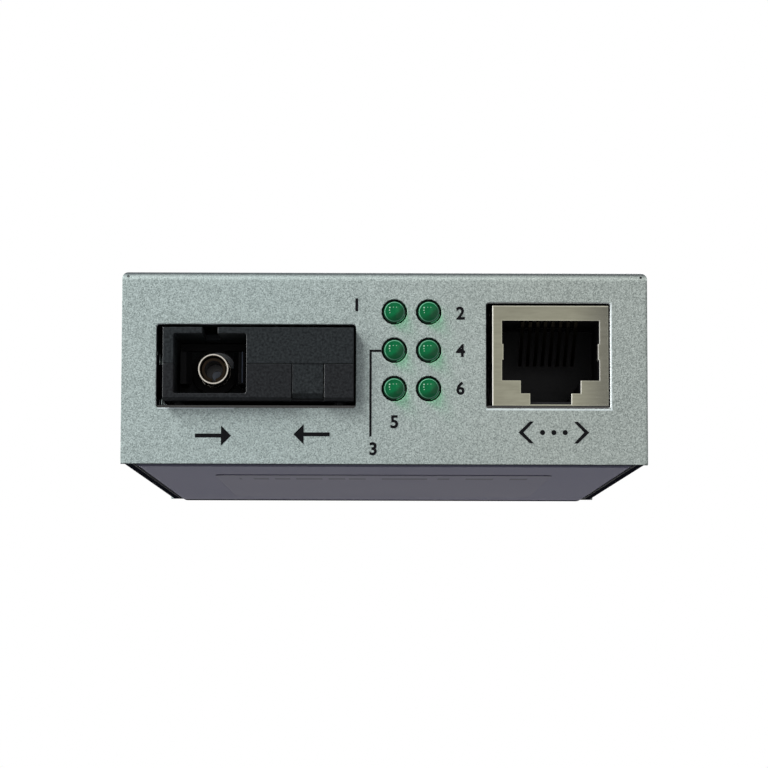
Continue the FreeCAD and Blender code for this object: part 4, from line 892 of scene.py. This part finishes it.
def buildWorld():
    # dim light on the part, plain white to the camera and in reflections
    world = bpy.data.worlds.new("studio")
    bpy.context.scene.world = world
    world.use_nodes = True
    tree = world.node_tree
    tree.nodes.clear()
    rays = addNode(tree, "ShaderNodeLightPath").outputs
    seen = compute(tree, "MAXIMUM", rays["Is Camera Ray"], rays["Is Glossy Ray"])
    shown = compute(tree, "MAXIMUM", seen, rays["Is Transmission Ray"])
    lit = addNode(tree, "ShaderNodeBackground", {
        "Color": rgba(*studio["worldColour"]), "Strength": studio["worldStrength"]})
    white = addNode(tree, "ShaderNodeBackground", {"Color": rgba(1, 1, 1), "Strength": 1.0})
    mixShaders(tree, shown, lit, white, addNode(tree, "ShaderNodeOutputWorld").inputs["Surface"])


def buildFloor():
    # a pale sheet under the case; it clears with distance, and from below it lets the view through,
    # so the underside shows
    half = studio["floorHalf"]
    mesh = bpy.data.meshes.new("floor")
    corners = [(x * half, y * half, studio["floorZ"]) for x, y in ((-1, -1), (1, -1), (1, 1), (-1, 1))]
    mesh.from_pydata(corners, [], [(0, 1, 2, 3)])
    floor = bpy.data.objects.new("floor", mesh)
    bpy.context.scene.collection.objects.link(floor)
    material, tree, matt = newMaterial("paleFloor", "ShaderNodeBsdfDiffuse")
    matt.inputs["Color"].default_value = rgba(*studio["floorColour"])
    away = addNode(tree, "ShaderNodeVectorMath", {0: objectVector(tree)}, operation="LENGTH")
    fade = mapRange(tree, away.outputs["Value"], *studio["floorFade"], interpolation_type="SMOOTHSTEP")
    below = addNode(tree, "ShaderNodeNewGeometry").outputs["Backfacing"]
    clear = addNode(tree, "ShaderNodeBsdfTransparent")
    through = compute(tree, "MAXIMUM", below, fade)
    mixShaders(tree, through, matt, clear, matt.outputs[0].links[0].to_socket)
    mesh.materials.append(material)
    floor.visible_shadow = False
    floor.visible_diffuse = False
    floor.visible_glossy = False
    floor.visible_transmission = False


buildWorld()
buildFloor()
for name, values in lamps.items():
    addLamp(name, values)

camera = {
    "location": (-1.54 * mm, -411.96 * mm, -22.33 * mm),
    "turn": (95.2307, -0.1483, -0.2445),     # degrees
    "lens": 129.2,                           # focal length and sensor width in mm
    "sensor": 36.0,
    "near": 0.01,
}
lensData = bpy.data.cameras.new("camera")
lensData.sensor_width = camera["sensor"]
lensData.lens = camera["lens"]
lensData.clip_start = camera["near"]
view = bpy.data.objects.new("camera", lensData)
view.location = camera["location"]
view.rotation_euler = [math.radians(value) for value in camera["turn"]]
bpy.context.scene.collection.objects.link(view)
bpy.context.scene.camera = view
bpy.context.scene.view_settings.view_transform = "Standard"
print("scene: floor, lamps and camera")
